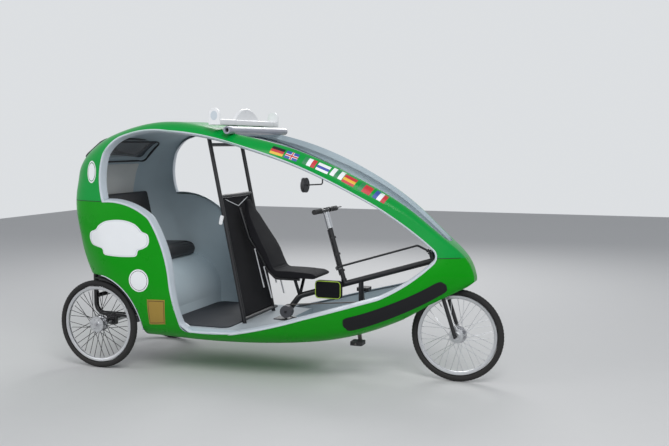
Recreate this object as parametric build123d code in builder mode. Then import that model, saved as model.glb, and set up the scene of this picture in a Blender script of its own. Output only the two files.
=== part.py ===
"""Cabin cycle rickshaw: a three-wheeled passenger cycle with a moulded tub and an arched canopy.

Frame: +X forward, +Y to the left, +Z up, origin on the ground under the middle of the overall length.
Millimetres. Stations along the body are measured forward from the rear axle and placed by `at`.
"""

import os
from math import atan2, cos, degrees, pi, radians, sin, sqrt, tan

from build123d import *

os.makedirs("parts", exist_ok=True)

# Driving dimensions
wheelbase = 2405.0
half_track = 490.0
wheel_radius = 305.0
tyre_width = 46.0
rim_width = 26.0
spoke_count = 24
spoke_width = 3.0
axle_radius = 8.0
pin_gap = 0.1
seat_gap = 0.3

wall = 30.0
well_gap = 35.0
seam_height = 1153.0
nose_seam_height = 822.0
roof_front = 955.0
bench_height = 695.0
floor_height = 330.0
floor_front = 1220.0

steering_tilt = 18.0
spine_diameter = 40.0
head_tube_diameter = 46.0
steerer_radius = 14.0
head_tube_low = 372.0
head_tube_high = 560.0
fork_leg_offset = 66.0
fork_leg_diameter = 26.0

crank_station = 1746.0
crank_height = 393.0
crank_length = 160.0
crank_offset = 78.0
pedal_width = 92.0
pedal_length = 84.0
chainring_radius = 92.0
gear_hub_station = 1240.0
gear_hub_height = 401.0
chain_offset = 52.0

column_foot = (1622.0, 633.0)
column_head = (1490.0, 1096.0)
handlebar_half_width = 205.0
steering_arm = 62.0

rear_axle_x = -wheelbase / 2
half_width_cut = 700.0


def at(station):
    """Row X of a station measured forward from the rear axle."""
    return station + rear_axle_x


def cross_plane(station):
    """Upright plane across the body at a station: local x is Y, local y is Z."""
    return Plane(origin=(at(station), 0, 0), x_dir=(0, 1, 0), z_dir=(1, 0, 0))


def side_plane(y=0.0):
    """Upright plane along the body, seen from the right-hand side: local x is X, local y is Z."""
    return Plane(origin=(0, y, 0), x_dir=(1, 0, 0), z_dir=(0, -1, 0))


def corner_radii(points, share):
    """Largest matching radii at the corners of a closed outline, as a share of the shorter side."""
    radii = []
    count = len(points)
    for i in range(count):
        a, b, c = (Vector(*points[(i + k) % count]) for k in (-1, 0, 1))
        turn = radians((b - a).get_angle(c - b))
        radii.append(share * min((b - a).length, (c - b).length) / tan(max(turn, 0.02) / 2))
    return radii


def tube(points, diameter, bend=60.0):
    """Round tube along straight runs with bends, added to the part being made."""
    with BuildPart() as made:
        with BuildLine() as path:
            if len(points) > 2:
                FilletPolyline(*points, radius=bend)
            else:
                Line(*points)
        line = path.wire()
        with BuildSketch(Plane(origin=line @ 0, z_dir=line % 0)):
            Circle(diameter / 2)
        sweep(path=line)
    add(made.part)


# Body sections. Columns: station, bottom height, bottom half-width, knee height, knee half-width,
# shoulder height, shoulder half-width, roof height on the centre line.
BODY = [
    (-265, 972, 200, 1160, 300, 1297, 215, 1307),
    (-245, 835, 280, 1151, 385, 1370, 300, 1405),
    (-190, 660, 340, 1092, 450, 1440, 375, 1505),
    (-68, 443, 400, 973, 500, 1520, 445, 1605),
    (124, 254, 450, 660, 535, 1610, 495, 1652),
    (412, 233, 469, 503, 547, 1684, 497, 1693),
    (703, 230, 474, 469, 551, 1674, 482, 1682),
    (992, 232, 470, 460, 543, 1614, 462, 1620),
    (1335, 247, 440, 461, 515, 1530, 345, 1538),
    (1734, 294, 350, 501, 425, 1356, 285, 1364),
    (2135, 438, 225, 650, 275, 1108, 168, 1116),
    (2338, 545, 140, 721, 182, 936, 110, 942),
    (2458, 619, 80, 714, 95, 828, 72, 833),
    (2520, 666, 44, 680, 52, 697, 42, 700),
]


def section_points(row, inset):
    """The seven corners of a body section, moved in by the inset."""
    _, low, low_w, knee, knee_w, shoulder, shoulder_w, top = row
    low, low_w, knee_w = low + inset, low_w - inset, knee_w - inset
    shoulder, shoulder_w, top = shoulder - inset, shoulder_w - inset, top - inset
    return [
        (-low_w, low),
        (low_w, low),
        (knee_w, knee),
        (shoulder_w, shoulder),
        (0, top),
        (-shoulder_w, shoulder),
        (-knee_w, knee),
    ]


# Rounding of a section's seven corners, as a share of the largest that fits
ROUNDING = (0.42, 0.42, 0.42, 0.26, 0.42, 0.26, 0.42)


def body_loft(rows, inset):
    """Smooth solid through the body's sections."""
    with BuildPart() as made:
        for row in rows:
            with BuildSketch(cross_plane(row[0])):
                with BuildLine():
                    points = section_points(row, inset)
                    radii = [share * radius for share, radius in zip(ROUNDING, corner_radii(points, 1.0))]
                    FilletPolyline(*points, radius=radii, close=True)
                make_face()
        loft()
    return made.part


def inner_rows(first, last, inset):
    """Section rows of a cavity: those of the rounded tail are moved forward by the inset."""
    rows = BODY[first:last]
    return [(row[0] + inset, *row[1:]) for row in rows[:3]] + rows[3:]


outer_body = body_loft(BODY, 0)
cavity = body_loft(inner_rows(0, -1, wall), wall)

# What stays solid under the cavity: the bench box over the rear wheels and the passengers' floor.
with BuildPart() as bench_core:
    with BuildSketch(side_plane()):
        with BuildLine():
            Polyline((at(-700), 100), (at(-700), bench_height), (at(190), bench_height))
            ThreePointArc((at(190), bench_height), (at(355), 600), (at(440), 395))
            Line((at(440), 395), (at(455), floor_height))
            Polyline((at(455), floor_height), (at(floor_front), floor_height), (at(floor_front + 60), 100))
            Line((at(floor_front + 60), 100), (at(-700), 100))
        make_face()
    extrude(amount=half_width_cut, both=True)

# The rear wheels' well, open below and behind.
well_radius = wheel_radius + well_gap
with BuildPart() as rear_well:
    with BuildSketch(side_plane()):
        with Locations((at(0), wheel_radius)):
            Circle(well_radius)
        with Locations((at(-400), (wheel_radius + well_radius) / 2)):
            Rectangle(800, wheel_radius + well_radius)
    extrude(amount=half_width_cut, both=True)

# The front wheel's well: open below, narrowing with the nose. Columns: station, half-width.
FRONT_WELL = [(2050, 186), (2238, 162), (2338, 120), (2438, 70), (2484, 42)]
front_well_reach = 338.0
with BuildPart() as front_well:
    with BuildSketch():
        with BuildLine():
            right = [(at(x), -w) for x, w in FRONT_WELL]
            Polyline(*right, *[(x, -y) for x, y in reversed(right)], close=True)
        make_face()
    extrude(amount=wheel_radius + front_well_reach)
    with BuildSketch(side_plane(), mode=Mode.PRIVATE) as reach:
        with Locations((at(wheelbase), wheel_radius)):
            Circle(front_well_reach)
        with Locations((at(wheelbase), wheel_radius / 2 - 40)):
            Rectangle(2 * front_well_reach, wheel_radius + 80)
    extrude(reach.sketch, amount=half_width_cut, both=True, mode=Mode.INTERSECT)

# Slots in the floor under the pedals.
pedal_slot_reach = crank_length + pedal_length / 2 + 12
slot_inner = 34.0
slot_rise = 70.0
slot_outer = crank_offset + pedal_width + 34
with BuildPart() as pedal_slots:
    with BuildSketch():
        slot_middle = (slot_inner + slot_outer) / 2
        with Locations((at(crank_station), slot_middle), (at(crank_station), -slot_middle)):
            RectangleRounded(2 * pedal_slot_reach, slot_outer - slot_inner, 30)
    extrude(amount=crank_height + slot_rise)

# Door opening in the side view, the same on both sides.
with BuildPart() as doors:
    with BuildSketch(side_plane()):
        with BuildLine():
            ThreePointArc((at(66), seam_height), (at(40), 1341), (at(67), 1473))
            ThreePointArc((at(67), 1473), (at(117), 1538), (at(186), 1586))
            ThreePointArc((at(186), 1586), (at(370), 1630), (at(559), 1626))
            ThreePointArc((at(559), 1626), (at(850), 1588), (at(1072), 1527))
            ThreePointArc((at(1072), 1527), (at(1480), 1375), (at(1920), 1149))
            ThreePointArc((at(1920), 1149), (at(2100), 1022), (at(2272), 880))
            ThreePointArc((at(2272), 880), (at(2300), 835), (at(2280), 786))
            ThreePointArc((at(2280), 786), (at(2147), 672), (at(1962), 566))
            Line((at(1962), 566), (at(1493), 431))
            ThreePointArc((at(1493), 431), (at(1253), 361), (at(1010), 306))
            ThreePointArc((at(1010), 306), (at(850), 294), (at(712), 296))
            ThreePointArc((at(712), 296), (at(660), 310), (at(641), 350))
            Line((at(641), 350), (at(594), 611))
            ThreePointArc((at(594), 611), (at(503), 930), (at(432), 1051))
            ThreePointArc((at(432), 1051), (at(290), 1128), (at(66), seam_height))
        make_face()
    extrude(amount=half_width_cut, both=True)

sill_inner = 470.0
floor_back = 535.0
with BuildPart() as floor_keep:
    with Locations((at((floor_back + floor_front) / 2), 0, floor_height - 100)):
        Box(floor_front - floor_back, 2 * sill_inner, 200)
door_cut = doors.part - floor_keep.part

# Open windscreen between the rails, in plan. Columns: station, half-width.
WINDSCREEN = [(roof_front, 385), (1100, 352), (1337, 292), (1536, 256), (1835, 205), (2136, 122), (2362, 62)]
with BuildPart() as windscreen:
    with BuildSketch(Plane.XY.offset(nose_seam_height + 20)):
        with BuildLine():
            right = [(at(x), -w) for x, w in WINDSCREEN]
            outline = right + [(x, -y) for x, y in reversed(right)]
            FilletPolyline(*outline, radius=corner_radii(outline, 0.4), close=True)
        make_face()
    extrude(amount=1200)

# Rear window, cut square to the sloping tail.
window_centre = (at(-112), 0, 1520)
window_slope = 46.0
window_plane = Plane(
    origin=window_centre, x_dir=(0, -1, 0), z_dir=(-sin(radians(window_slope)), 0, cos(radians(window_slope)))
)
window_width = 680.0
window_height = 200.0
window_corner = 40.0


def window_prism(inset):
    """Block of the window's outline, square to its slope."""
    with BuildPart() as made:
        with BuildSketch(window_plane):
            RectangleRounded(window_width - 2 * inset, window_height - 2 * inset, window_corner - inset)
        extrude(amount=160, both=True)
    return made.part


shell = outer_body - (cavity - bench_core.part)
shell = shell - rear_well.part - front_well.part - pedal_slots.part - door_cut

# The seam: level round the tail at door height, and lower across the nose.
with BuildPart() as upper_half:
    with BuildSketch(side_plane()):
        with BuildLine():
            Polyline(
                (at(-500), seam_height),
                (at(300), seam_height),
                (at(1740), 700),
                (at(2218), nose_seam_height),
                (at(2600), nose_seam_height),
                (at(2600), 1900),
                (at(-500), 1900),
                close=True,
            )
        make_face()
    extrude(amount=half_width_cut, both=True)

# Rolled cover across the front of the roof, and the trough in both rails that it lies in
roll_station = 990.0
roll_height = 1632.0
roll_radius = 26.0
roll_half_length = 470.0
with BuildPart() as roll_trough:
    with BuildSketch(Plane(origin=(at(roll_station), half_width_cut, roll_height), z_dir=(0, -1, 0))):
        Circle(roll_radius + seat_gap)
    extrude(amount=2 * half_width_cut)

lower_hull = shell - upper_half.part
lower_hull.label = "lower_hull"
canopy = (shell & upper_half.part) - windscreen.part - window_prism(0) - roll_trough.part
canopy = canopy.solids().sort_by(SortBy.VOLUME)[-1]
canopy.label = "canopy"
pane_skin = body_loft(inner_rows(0, 6, 9), 9) - body_loft(inner_rows(0, 6, 14), 14)
rear_window = pane_skin & window_prism(seat_gap)
rear_window.label = "rear_window"
notice_height = 230.0
notice_half_width = 310.0
lining = body_loft(inner_rows(0, -1, wall + seat_gap), wall + seat_gap)
notice_skin = lining - body_loft(inner_rows(0, -1, wall + 4), wall + 4)
with BuildPart() as notice_block:
    with BuildSketch(Plane.YZ.offset(at(-400))):
        with Locations((0, seam_height + 8 + notice_height / 2)):
            RectangleRounded(2 * notice_half_width, notice_height, 12)
    extrude(amount=250)
notice_panel = notice_skin & notice_block.part
notice_panel.label = "notice_panel"
for piece in (lower_hull, canopy, rear_window, notice_panel):
    export_step(piece, f"parts/{piece.label}.step")

# Passengers' bench, mat and partition
bench_half_width = 430.0
bench_back_half_width = 380.0
bench_back_station = -88.0
bench_front_station = 252.0
cushion_height = 95.0
cushion_top = bench_height + seat_gap + cushion_height
with BuildPart() as bench_cushion:
    with BuildSketch(side_plane()):
        with BuildLine():
            low, back, front = bench_height + seat_gap, at(bench_back_station), at(bench_front_station)
            outline = [(back, low), (front - 17, low), (front, low + 45)]
            outline += [(front - 22, cushion_top), (back, cushion_top)]
            FilletPolyline(*outline, radius=[8, 14, 30, 34, 20], close=True)
        make_face()
    extrude(amount=bench_half_width, both=True)
    with BuildSketch(Plane.XY.offset(bench_height)):
        with BuildLine():
            wide, narrow, step = bench_half_width, bench_back_half_width, at(124)
            right = [(at(bench_back_station), -narrow), (step, -wide), (at(bench_front_station), -wide)]
            Polyline(*right, *[(x, -y) for x, y in reversed(right)], close=True)
        make_face()
    extrude(amount=2 * cushion_height, mode=Mode.INTERSECT)
bench_cushion.part.label = "bench_cushion"
export_step(bench_cushion.part, "parts/bench_cushion.step")

back_half_width = 350.0
back_height = 1181.0
with BuildPart() as bench_backrest:
    with BuildSketch(side_plane()):
        with BuildLine():
            low = cushion_top + seat_gap
            outline = [(at(-36), low), (at(-122), back_height), (at(-172), back_height - 6), (at(-90), low)]
            FilletPolyline(*outline, radius=[12, 20, 16, 12], close=True)
        make_face()
    extrude(amount=back_half_width, both=True)
bench_backrest.part.label = "bench_backrest"
export_step(bench_backrest.part, "parts/bench_backrest.step")

mat_thickness = 6.0
with BuildPart() as floor_mat:
    with BuildSketch(Plane.XY.offset(floor_height + seat_gap)):
        with Locations((at(712), 0)):
            RectangleRounded(500, 870, 60)
    extrude(amount=mat_thickness)
floor_mat.part.label = "floor_mat"
export_step(floor_mat.part, "parts/floor_mat.step")

# Roll frame: two posts in the door openings, joined by three cross bars
post_diameter = 28.0
post_top = (716.0, 240.0, 1700.0)
post_foot = (994.0, 240.0, floor_height)


def post_point(height):
    """Point of the left-hand post's axis at a height, with its station turned to a row X."""
    share = (post_top[2] - height) / (post_top[2] - post_foot[2])
    station, y = (post_top[i] + share * (post_foot[i] - post_top[i]) for i in (0, 1))
    return at(station), y, height


bar_heights = [1537.0, 1188.0, 356.0]
with BuildPart() as roll_frame:
    for side in (1, -1):
        foot, head = post_point(post_foot[2]), post_point(post_top[2])
        low = post_point(post_foot[2] - post_diameter)
        tube([(low[0], side * low[1], low[2]), (head[0], side * head[1], head[2])], post_diameter)
    for height in bar_heights:
        x, y, z = post_point(height)
        tube([(x, -y, z), (x, y, z)], post_diameter - 4)
    with Locations((at(post_foot[0]), 0, floor_height + seat_gap - 100)):
        Box(200, 4 * post_foot[1], 200, mode=Mode.SUBTRACT)
    add(lining, mode=Mode.INTERSECT)
roll_frame.part.label = "roll_frame"
export_step(roll_frame.part, "parts/roll_frame.step")

partition_thickness = 7.0
bar_clearance = post_diameter / 2 - 2 + seat_gap
with BuildPart() as partition:
    with BuildSketch(side_plane()):
        with BuildLine():
            head, foot = post_point(bar_heights[1] - bar_clearance), post_point(bar_heights[2] + bar_clearance)
            half = partition_thickness / 2
            corners = [(head[0] - half, head[2]), (foot[0] - half, foot[2]), (foot[0] + half, foot[2])]
            Polyline(*corners, (head[0] + half, head[2]), close=True)
        make_face()
    extrude(amount=post_top[1] - post_diameter / 2 - seat_gap, both=True)
partition.part.label = "partition"
export_step(partition.part, "parts/partition.step")

# Steering axis of the fork and of the column
fork_plane = Plane(
    origin=(at(wheelbase), 0, wheel_radius),
    x_dir=(0, 1, 0),
    z_dir=(-sin(radians(steering_tilt)), 0, cos(radians(steering_tilt))),
)
column_run = Vector(column_head[0] - column_foot[0], 0, column_head[1] - column_foot[1])
column_length = column_run.length
column_plane = Plane(
    origin=(at(column_foot[0]), 0, column_foot[1]), x_dir=(0, 1, 0), z_dir=column_run.normalized()
)


def fork_point(along, y=0.0):
    """Row point at a distance up the fork's axis from the front hub."""
    point = fork_plane.from_local_coords(Vector(y, 0, along))
    return point.X, point.Y, point.Z


def column_point(along, y=0.0):
    """Row point at a distance up the column's axis from its foot."""
    point = column_plane.from_local_coords(Vector(y, 0, along))
    return point.X, point.Y, point.Z


# Main frame: spine, head tube, bottom bracket, seat tubes, column socket and gear hub pin
spine_nose = (2247.0, 789.0)
spine_bend = (1301.0, 499.0)
spine_foot = (1182.0, 348.0)
seat_tube_offset = 88.0
seat_tube_diameter = 22.0
seat_under = 638.0
seat_rail_height = seat_under - seat_gap - seat_tube_diameter / 2
SEAT_TUBE = [
    (1335, seat_rail_height), (1160, seat_rail_height), (1095, 685),
    (1052, 772), (963, 892), (930, 985), (890, 1103),
]
seat_strut_station = 1300.0
bracket_half_width = 38.0
crank_axle_radius = 10.0
column_pin_radius = 10.0


def spine_height(station):
    """Height of the spine's axis at a station between its bend and the nose."""
    slope = (spine_nose[1] - spine_bend[1]) / (spine_nose[0] - spine_bend[0])
    return spine_bend[1] + slope * (station - spine_bend[0])


with BuildPart() as main_frame:
    spine = [(at(x), 0, z) for x, z in (spine_nose, spine_bend, spine_foot)]
    tube(spine, spine_diameter, 90)
    with Locations((at(spine_foot[0]) - 4, 0, floor_height + seat_gap + 3)):
        Box(110, 100, 6)
    with BuildSketch(Plane(origin=fork_point(head_tube_low), z_dir=fork_plane.z_dir)):
        Circle(head_tube_diameter / 2)
    extrude(amount=head_tube_high - head_tube_low)
    tube([(at(crank_station), 0, spine_height(crank_station)), (at(crank_station), 0, crank_height)], 34)
    tube(
        [(at(crank_station), side * bracket_half_width, crank_height) for side in (-1, 1)],
        48,
    )
    tube([column_point(-40), column_point(0)], spine_diameter)
    for side in (1, -1):
        tube([(at(x), side * seat_tube_offset, z) for x, z in SEAT_TUBE], seat_tube_diameter, 38)
        tube(
            [
                (at(seat_strut_station), side * seat_tube_offset, SEAT_TUBE[0][1]),
                (at(seat_strut_station), 0, spine_height(seat_strut_station)),
            ],
            seat_tube_diameter,
        )
    x, z = at(SEAT_TUBE[2][0]), SEAT_TUBE[2][1]
    tube([(x, -seat_tube_offset, z), (x, seat_tube_offset, z)], seat_tube_diameter)
    tube([(at(gear_hub_station), 0, gear_hub_height), (at(gear_hub_station), -118, gear_hub_height)], 16)
    tube([(at(gear_hub_station), 0, gear_hub_height), (at(gear_hub_station), 0, gear_hub_height + 30)], 24)
    with BuildSketch(Plane(origin=fork_point(head_tube_low - 5), z_dir=fork_plane.z_dir)):
        Circle(steerer_radius + pin_gap)
    extrude(amount=head_tube_high - head_tube_low + 10, mode=Mode.SUBTRACT)
    with BuildSketch(Plane(origin=(at(crank_station), bracket_half_width + 5, crank_height), z_dir=(0, -1, 0))):
        Circle(crank_axle_radius + pin_gap)
    extrude(amount=2 * bracket_half_width + 10, mode=Mode.SUBTRACT)
    with BuildSketch(Plane(origin=column_point(1), z_dir=-column_plane.z_dir)):
        Circle(column_pin_radius + pin_gap)
    extrude(amount=26, mode=Mode.SUBTRACT)
main_frame.part.label = "main_frame"
export_step(main_frame.part, "parts/main_frame.step")

seat_half_width = 130.0
with BuildPart() as driver_seat:
    with BuildSketch(side_plane()):
        with BuildLine():
            outline = [
                (at(893), 1150), (at(945), 1000), (at(985), 902), (at(1073), 783), (at(1118), 700),
                (at(1165), seat_under), (at(1455), seat_under), (at(1478), 656), (at(1440), 676),
                (at(1300), 684), (at(1162), 684), (at(1132), 742), (at(1100), 818),
                (at(1048), 902), (at(985), 1008), (at(934), 1103), (at(917), 1158),
            ]
            FilletPolyline(*outline, radius=corner_radii(outline, 0.4), close=True)
        make_face()
    extrude(amount=seat_half_width, both=True)
    with BuildSketch(Plane.YZ):
        with BuildLine():
            right = [(seat_half_width, 500), (seat_half_width, 860), (85, 1050), (40, 1120), (30, 1165)]
            outline = right + [(-y, z) for y, z in reversed(right)]
            FilletPolyline(*outline, radius=[1, 90, 60, 30, 18, 18, 30, 60, 90, 1], close=True)
        make_face()
    extrude(amount=2 * wheelbase, both=True, mode=Mode.INTERSECT)
driver_seat.part.label = "driver_seat"
export_step(driver_seat.part, "parts/driver_seat.step")

# Rear frame, axle, drive and battery under the bench
axle_beam_diameter = 44.0
rear_tube_offset = 330.0
rear_tube_diameter = 34.0
rear_tube_height = wheel_radius + (axle_beam_diameter + rear_tube_diameter) / 2 + 2
beam_half_length = half_track - 36
hub_half_width = 32.0
well_roof = wheel_radius + well_radius
riser_station = -128.0
cross_tube_height = 468.0
with BuildPart() as rear_frame:
    front_end = sqrt(well_radius**2 - (rear_tube_height + rear_tube_diameter / 2 - wheel_radius) ** 2) - 1
    for side in (1, -1):
        y = side * rear_tube_offset
        run = [(at(front_end), y, rear_tube_height), (at(riser_station), y, rear_tube_height)]
        tube([*run, (at(riser_station), y, well_roof - seat_gap)], rear_tube_diameter, 70)
        with Locations((at(0), y, wheel_radius + 10)):
            Box(70, 36, 84)
    ends = [(at(riser_station), side * rear_tube_offset, cross_tube_height) for side in (-1, 1)]
    tube(ends, rear_tube_diameter - 4)
    with BuildSketch(Plane(origin=(at(0), half_track, wheel_radius), z_dir=(0, -1, 0))):
        Circle(axle_beam_diameter / 2 + seat_gap)
    extrude(amount=2 * half_track, mode=Mode.SUBTRACT)
rear_frame.part.label = "rear_frame"
export_step(rear_frame.part, "parts/rear_frame.step")

with BuildPart() as rear_axle:
    with BuildSketch(Plane(origin=(at(0), 0, wheel_radius), z_dir=(0, -1, 0))):
        Circle(axle_beam_diameter / 2)
    extrude(amount=beam_half_length, both=True)
    with BuildSketch(Plane(origin=(at(0), 0, wheel_radius), z_dir=(0, -1, 0))):
        Circle(axle_radius)
    extrude(amount=half_track + hub_half_width + 12, both=True)
    for side in (1, -1):
        face = half_track + hub_half_width + seat_gap
        with BuildSketch(Plane(origin=(at(0), side * face, wheel_radius), z_dir=(0, side, 0))):
            RegularPolygon(13, 6)
        extrude(amount=9)
rear_axle.part.label = "rear_axle"
export_step(rear_axle.part, "parts/rear_axle.step")

with BuildPart() as drive_unit:
    with BuildSketch(Plane(origin=(at(0), -60, wheel_radius), z_dir=(0, 1, 0))):
        Circle(78)
        Circle(axle_beam_diameter / 2 + seat_gap, mode=Mode.SUBTRACT)
    extrude(amount=150)
drive_unit.part.label = "drive_unit"
export_step(drive_unit.part, "parts/drive_unit.step")

with BuildPart() as battery_box:
    with Locations((at(-110), 0, well_roof - seat_gap - 75)):
        Box(190, 420, 150)
    fillet(battery_box.edges().filter_by(Axis.Z), 18)
battery_box.part.label = "battery_box"
export_step(battery_box.part, "parts/battery_box.step")

guard_first = 25.0
guard_last = 92.0
with BuildPart() as mudguards:
    for side in (1, -1):
        y = side * (half_track - 34)
        with BuildSketch(Plane(origin=(at(0), y, wheel_radius), x_dir=(1, 0, 0), z_dir=(0, side, 0))):
            with BuildLine():
                turn = -side
                CenterArc((0, 0), wheel_radius + 16, turn * guard_first, turn * (guard_last - guard_first))
                CenterArc((0, 0), wheel_radius + 19, turn * guard_first, turn * (guard_last - guard_first))
                for angle in (guard_first, guard_last):
                    a = radians(turn * angle)
                    Line(
                        ((wheel_radius + 16) * cos(a), (wheel_radius + 16) * sin(a)),
                        ((wheel_radius + 19) * cos(a), (wheel_radius + 19) * sin(a)),
                    )
            make_face()
        extrude(amount=64)
        with BuildSketch(Plane(origin=(at(0), y + side * 22, wheel_radius), x_dir=(1, 0, 0), z_dir=(0, side, 0))):
            with Locations(Location((0, 0), turn * 55)):
                with Locations(((wheel_radius + 17 + well_radius - 1) / 2, 0)):
                    Rectangle(well_radius - 1 - wheel_radius - 17, 30)
        extrude(amount=20)
mudguards.part.label = "mudguards"
export_step(mudguards.part, "parts/mudguards.step")


# Wheels
rim_outer = 262.0
rim_inner = 243.0


def wheel_plane(x, y):
    """Plane square to a wheel's axle: local z is +Y."""
    return Plane(origin=(x, y, wheel_radius), x_dir=(1, 0, 0), z_dir=(0, 1, 0))


def make_tyre(name, x, y):
    """Round tyre, open at its bead."""
    with BuildPart() as tyre:
        with BuildSketch(Plane(origin=(x, y, wheel_radius), x_dir=(1, 0, 0), z_dir=(0, 0, 1))):
            with Locations((wheel_radius - tyre_width / 2, 0)):
                Circle(tyre_width / 2)
            with Locations((rim_outer + seat_gap - 20, 0)):
                Rectangle(40, tyre_width, mode=Mode.SUBTRACT)
        revolve(axis=Axis((x, y, wheel_radius), (0, 1, 0)))
    tyre.part.label = name
    export_step(tyre.part, f"parts/{name}.step")


def make_rim(name, x, y, hub_radius, flange):
    """Rim with its spokes, which lean in pairs and reach the hub's flanges."""
    with BuildPart() as rim:
        with BuildSketch(Plane(origin=(x, y, wheel_radius), x_dir=(1, 0, 0), z_dir=(0, 0, 1))):
            with BuildLine():
                half = rim_width / 2
                outline = [
                    (rim_outer, -half), (rim_outer, half), (rim_outer - 12, half), (rim_inner, 5),
                    (rim_inner, -5), (rim_outer - 12, -half),
                ]
                Polyline(*outline, close=True)
            make_face()
        revolve(axis=Axis((x, y, wheel_radius), (0, 1, 0)))
        for i in range(spoke_count):
            side = 1 if i % 2 else -1
            lean = 1 if (i // 2) % 2 else -1
            a = 2 * pi * (i + 0.5) / spoke_count
            b = a + lean * radians(48)
            reach_out = y + side * (flange - lean * 2)
            start = Vector(x + hub_radius * cos(b), reach_out, wheel_radius + hub_radius * sin(b))
            end = Vector(x + (rim_inner + 4) * cos(a), y + side * 2, wheel_radius + (rim_inner + 4) * sin(a))
            with BuildSketch(Plane(origin=start, z_dir=end - start)):
                Rectangle(spoke_width, spoke_width)
            extrude(amount=(end - start).length)
    rim.part.label = name
    export_step(rim.part, f"parts/{name}.step")


def make_hub(name, x, y, drum_radius, flange, half_width):
    """Hub with two spoke flanges, turning on its axle."""
    with BuildPart() as hub:
        with BuildSketch(Plane(origin=(x, y, wheel_radius), x_dir=(1, 0, 0), z_dir=(0, 0, 1))):
            with BuildLine():
                bore = axle_radius + pin_gap
                outline = [
                    (bore, -half_width), (drum_radius * 0.6, -half_width), (drum_radius - 3, -flange - 6),
                    (drum_radius, -flange), (drum_radius - 14, -flange + 8), (drum_radius - 14, flange - 8),
                    (drum_radius, flange), (drum_radius - 3, flange + 6), (drum_radius * 0.6, half_width),
                    (bore, half_width),
                ]
                Polyline(*outline, close=True)
            make_face()
        revolve(axis=Axis((x, y, wheel_radius), (0, 1, 0)))
    hub.part.label = name
    export_step(hub.part, f"parts/{name}.step")


# Columns: name, station, side offset, drum radius, flange offset, hub half-width
WHEELS = [
    ("front", wheelbase, 0, 58, 30, 44),
    ("left", 0, half_track, 56, 22, hub_half_width),
    ("right", 0, -half_track, 56, 22, hub_half_width),
]
for name, station, y, drum, flange, half in WHEELS:
    make_tyre(f"{name}_tyre", at(station), y)
    make_rim(f"{name}_rim", at(station), y, drum + 1.8, flange)
    make_hub(f"{name}_hub", at(station), y, drum, flange, half)

# Fork
crown_low = 335.0
crown_high = 362.0
arm_low = head_tube_high + seat_gap
arm_high = arm_low + 14
arm_thickness = 10.0
tie_pin_radius = 5.0
with BuildPart() as fork:
    for side in (1, -1):
        leg = [fork_point(height, side * fork_leg_offset) for height in (-4, crown_low + 10)]
        tube(leg, fork_leg_diameter)
    with BuildSketch(Plane(origin=fork_point(crown_low), x_dir=(0, 1, 0), z_dir=fork_plane.z_dir)):
        RectangleRounded(2 * fork_leg_offset + fork_leg_diameter + 4, 44, 15)
    extrude(amount=crown_high - crown_low)
    tube([fork_point(crown_high - 5), fork_point(head_tube_low - seat_gap)], 40)
    tube([fork_point(crown_high - 5), fork_point(arm_high)], 2 * steerer_radius)
    with BuildSketch(Plane(origin=fork_point(arm_low), x_dir=(0, 1, 0), z_dir=fork_plane.z_dir)):
        Circle(20)
    extrude(amount=arm_high - arm_low)
    with BuildSketch(Plane(origin=fork_point(arm_low), x_dir=(0, 1, 0), z_dir=fork_plane.z_dir)):
        with Locations((-steering_arm / 2, 0)):
            Rectangle(steering_arm, 22)
        with Locations((-steering_arm, 0)):
            Circle(11)
    extrude(amount=arm_thickness)
    pin = [fork_point(height, -steering_arm) for height in (arm_low + 1, arm_low + arm_thickness + 22)]
    tube(pin, 2 * tie_pin_radius)
    axle_half = fork_leg_offset + fork_leg_diameter / 2 + 8
    tube([(at(wheelbase), -axle_half, wheel_radius), (at(wheelbase), axle_half, wheel_radius)], 2 * axle_radius)
fork.part.label = "fork"
export_step(fork.part, "parts/fork.step")

# Column with its arm, handlebar, grips and levers
column_diameter = 32.0
column_arm_along = 70.0
with BuildPart() as column:
    tube([column_point(-24), column_point(5)], 2 * column_pin_radius)
    tube([column_point(seat_gap), column_point(column_length - 12)], column_diameter)
    with BuildSketch(Plane(origin=column_point(column_arm_along), x_dir=(0, 1, 0), z_dir=column_plane.z_dir)):
        with Locations((-steering_arm / 2, 0)):
            Rectangle(steering_arm, 22)
        with Locations((-steering_arm, 0)):
            Circle(11)
    extrude(amount=arm_thickness)
    tube(
        [
            column_point(column_arm_along + 1, -steering_arm),
            column_point(column_arm_along + arm_thickness + 20, -steering_arm),
        ],
        2 * tie_pin_radius,
    )
column.part.label = "column"
export_step(column.part, "parts/column.step")

bar_diameter = 24.0
grip_length = 112.0
with BuildPart() as handlebar:
    tube([column_point(column_length - 12 + seat_gap), column_point(column_length + 16)], 40)
    bar_y = handlebar_half_width
    tube([column_point(column_length, -bar_y), column_point(column_length, bar_y)], bar_diameter)
handlebar.part.label = "handlebar"
export_step(handlebar.part, "parts/handlebar.step")

with BuildPart() as grips:
    for side in (1, -1):
        inner = Vector(*column_point(column_length, side * (handlebar_half_width - grip_length)))
        with BuildSketch(Plane(origin=inner, z_dir=(0, side, 0))):
            Circle(bar_diameter / 2 + 5)
        extrude(amount=grip_length + 4)
        with BuildSketch(Plane(origin=inner, z_dir=(0, side, 0))):
            Circle(bar_diameter / 2 + seat_gap)
        extrude(amount=grip_length + seat_gap, mode=Mode.SUBTRACT)
grips.part.label = "grips"
export_step(grips.part, "parts/grips.step")

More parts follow.
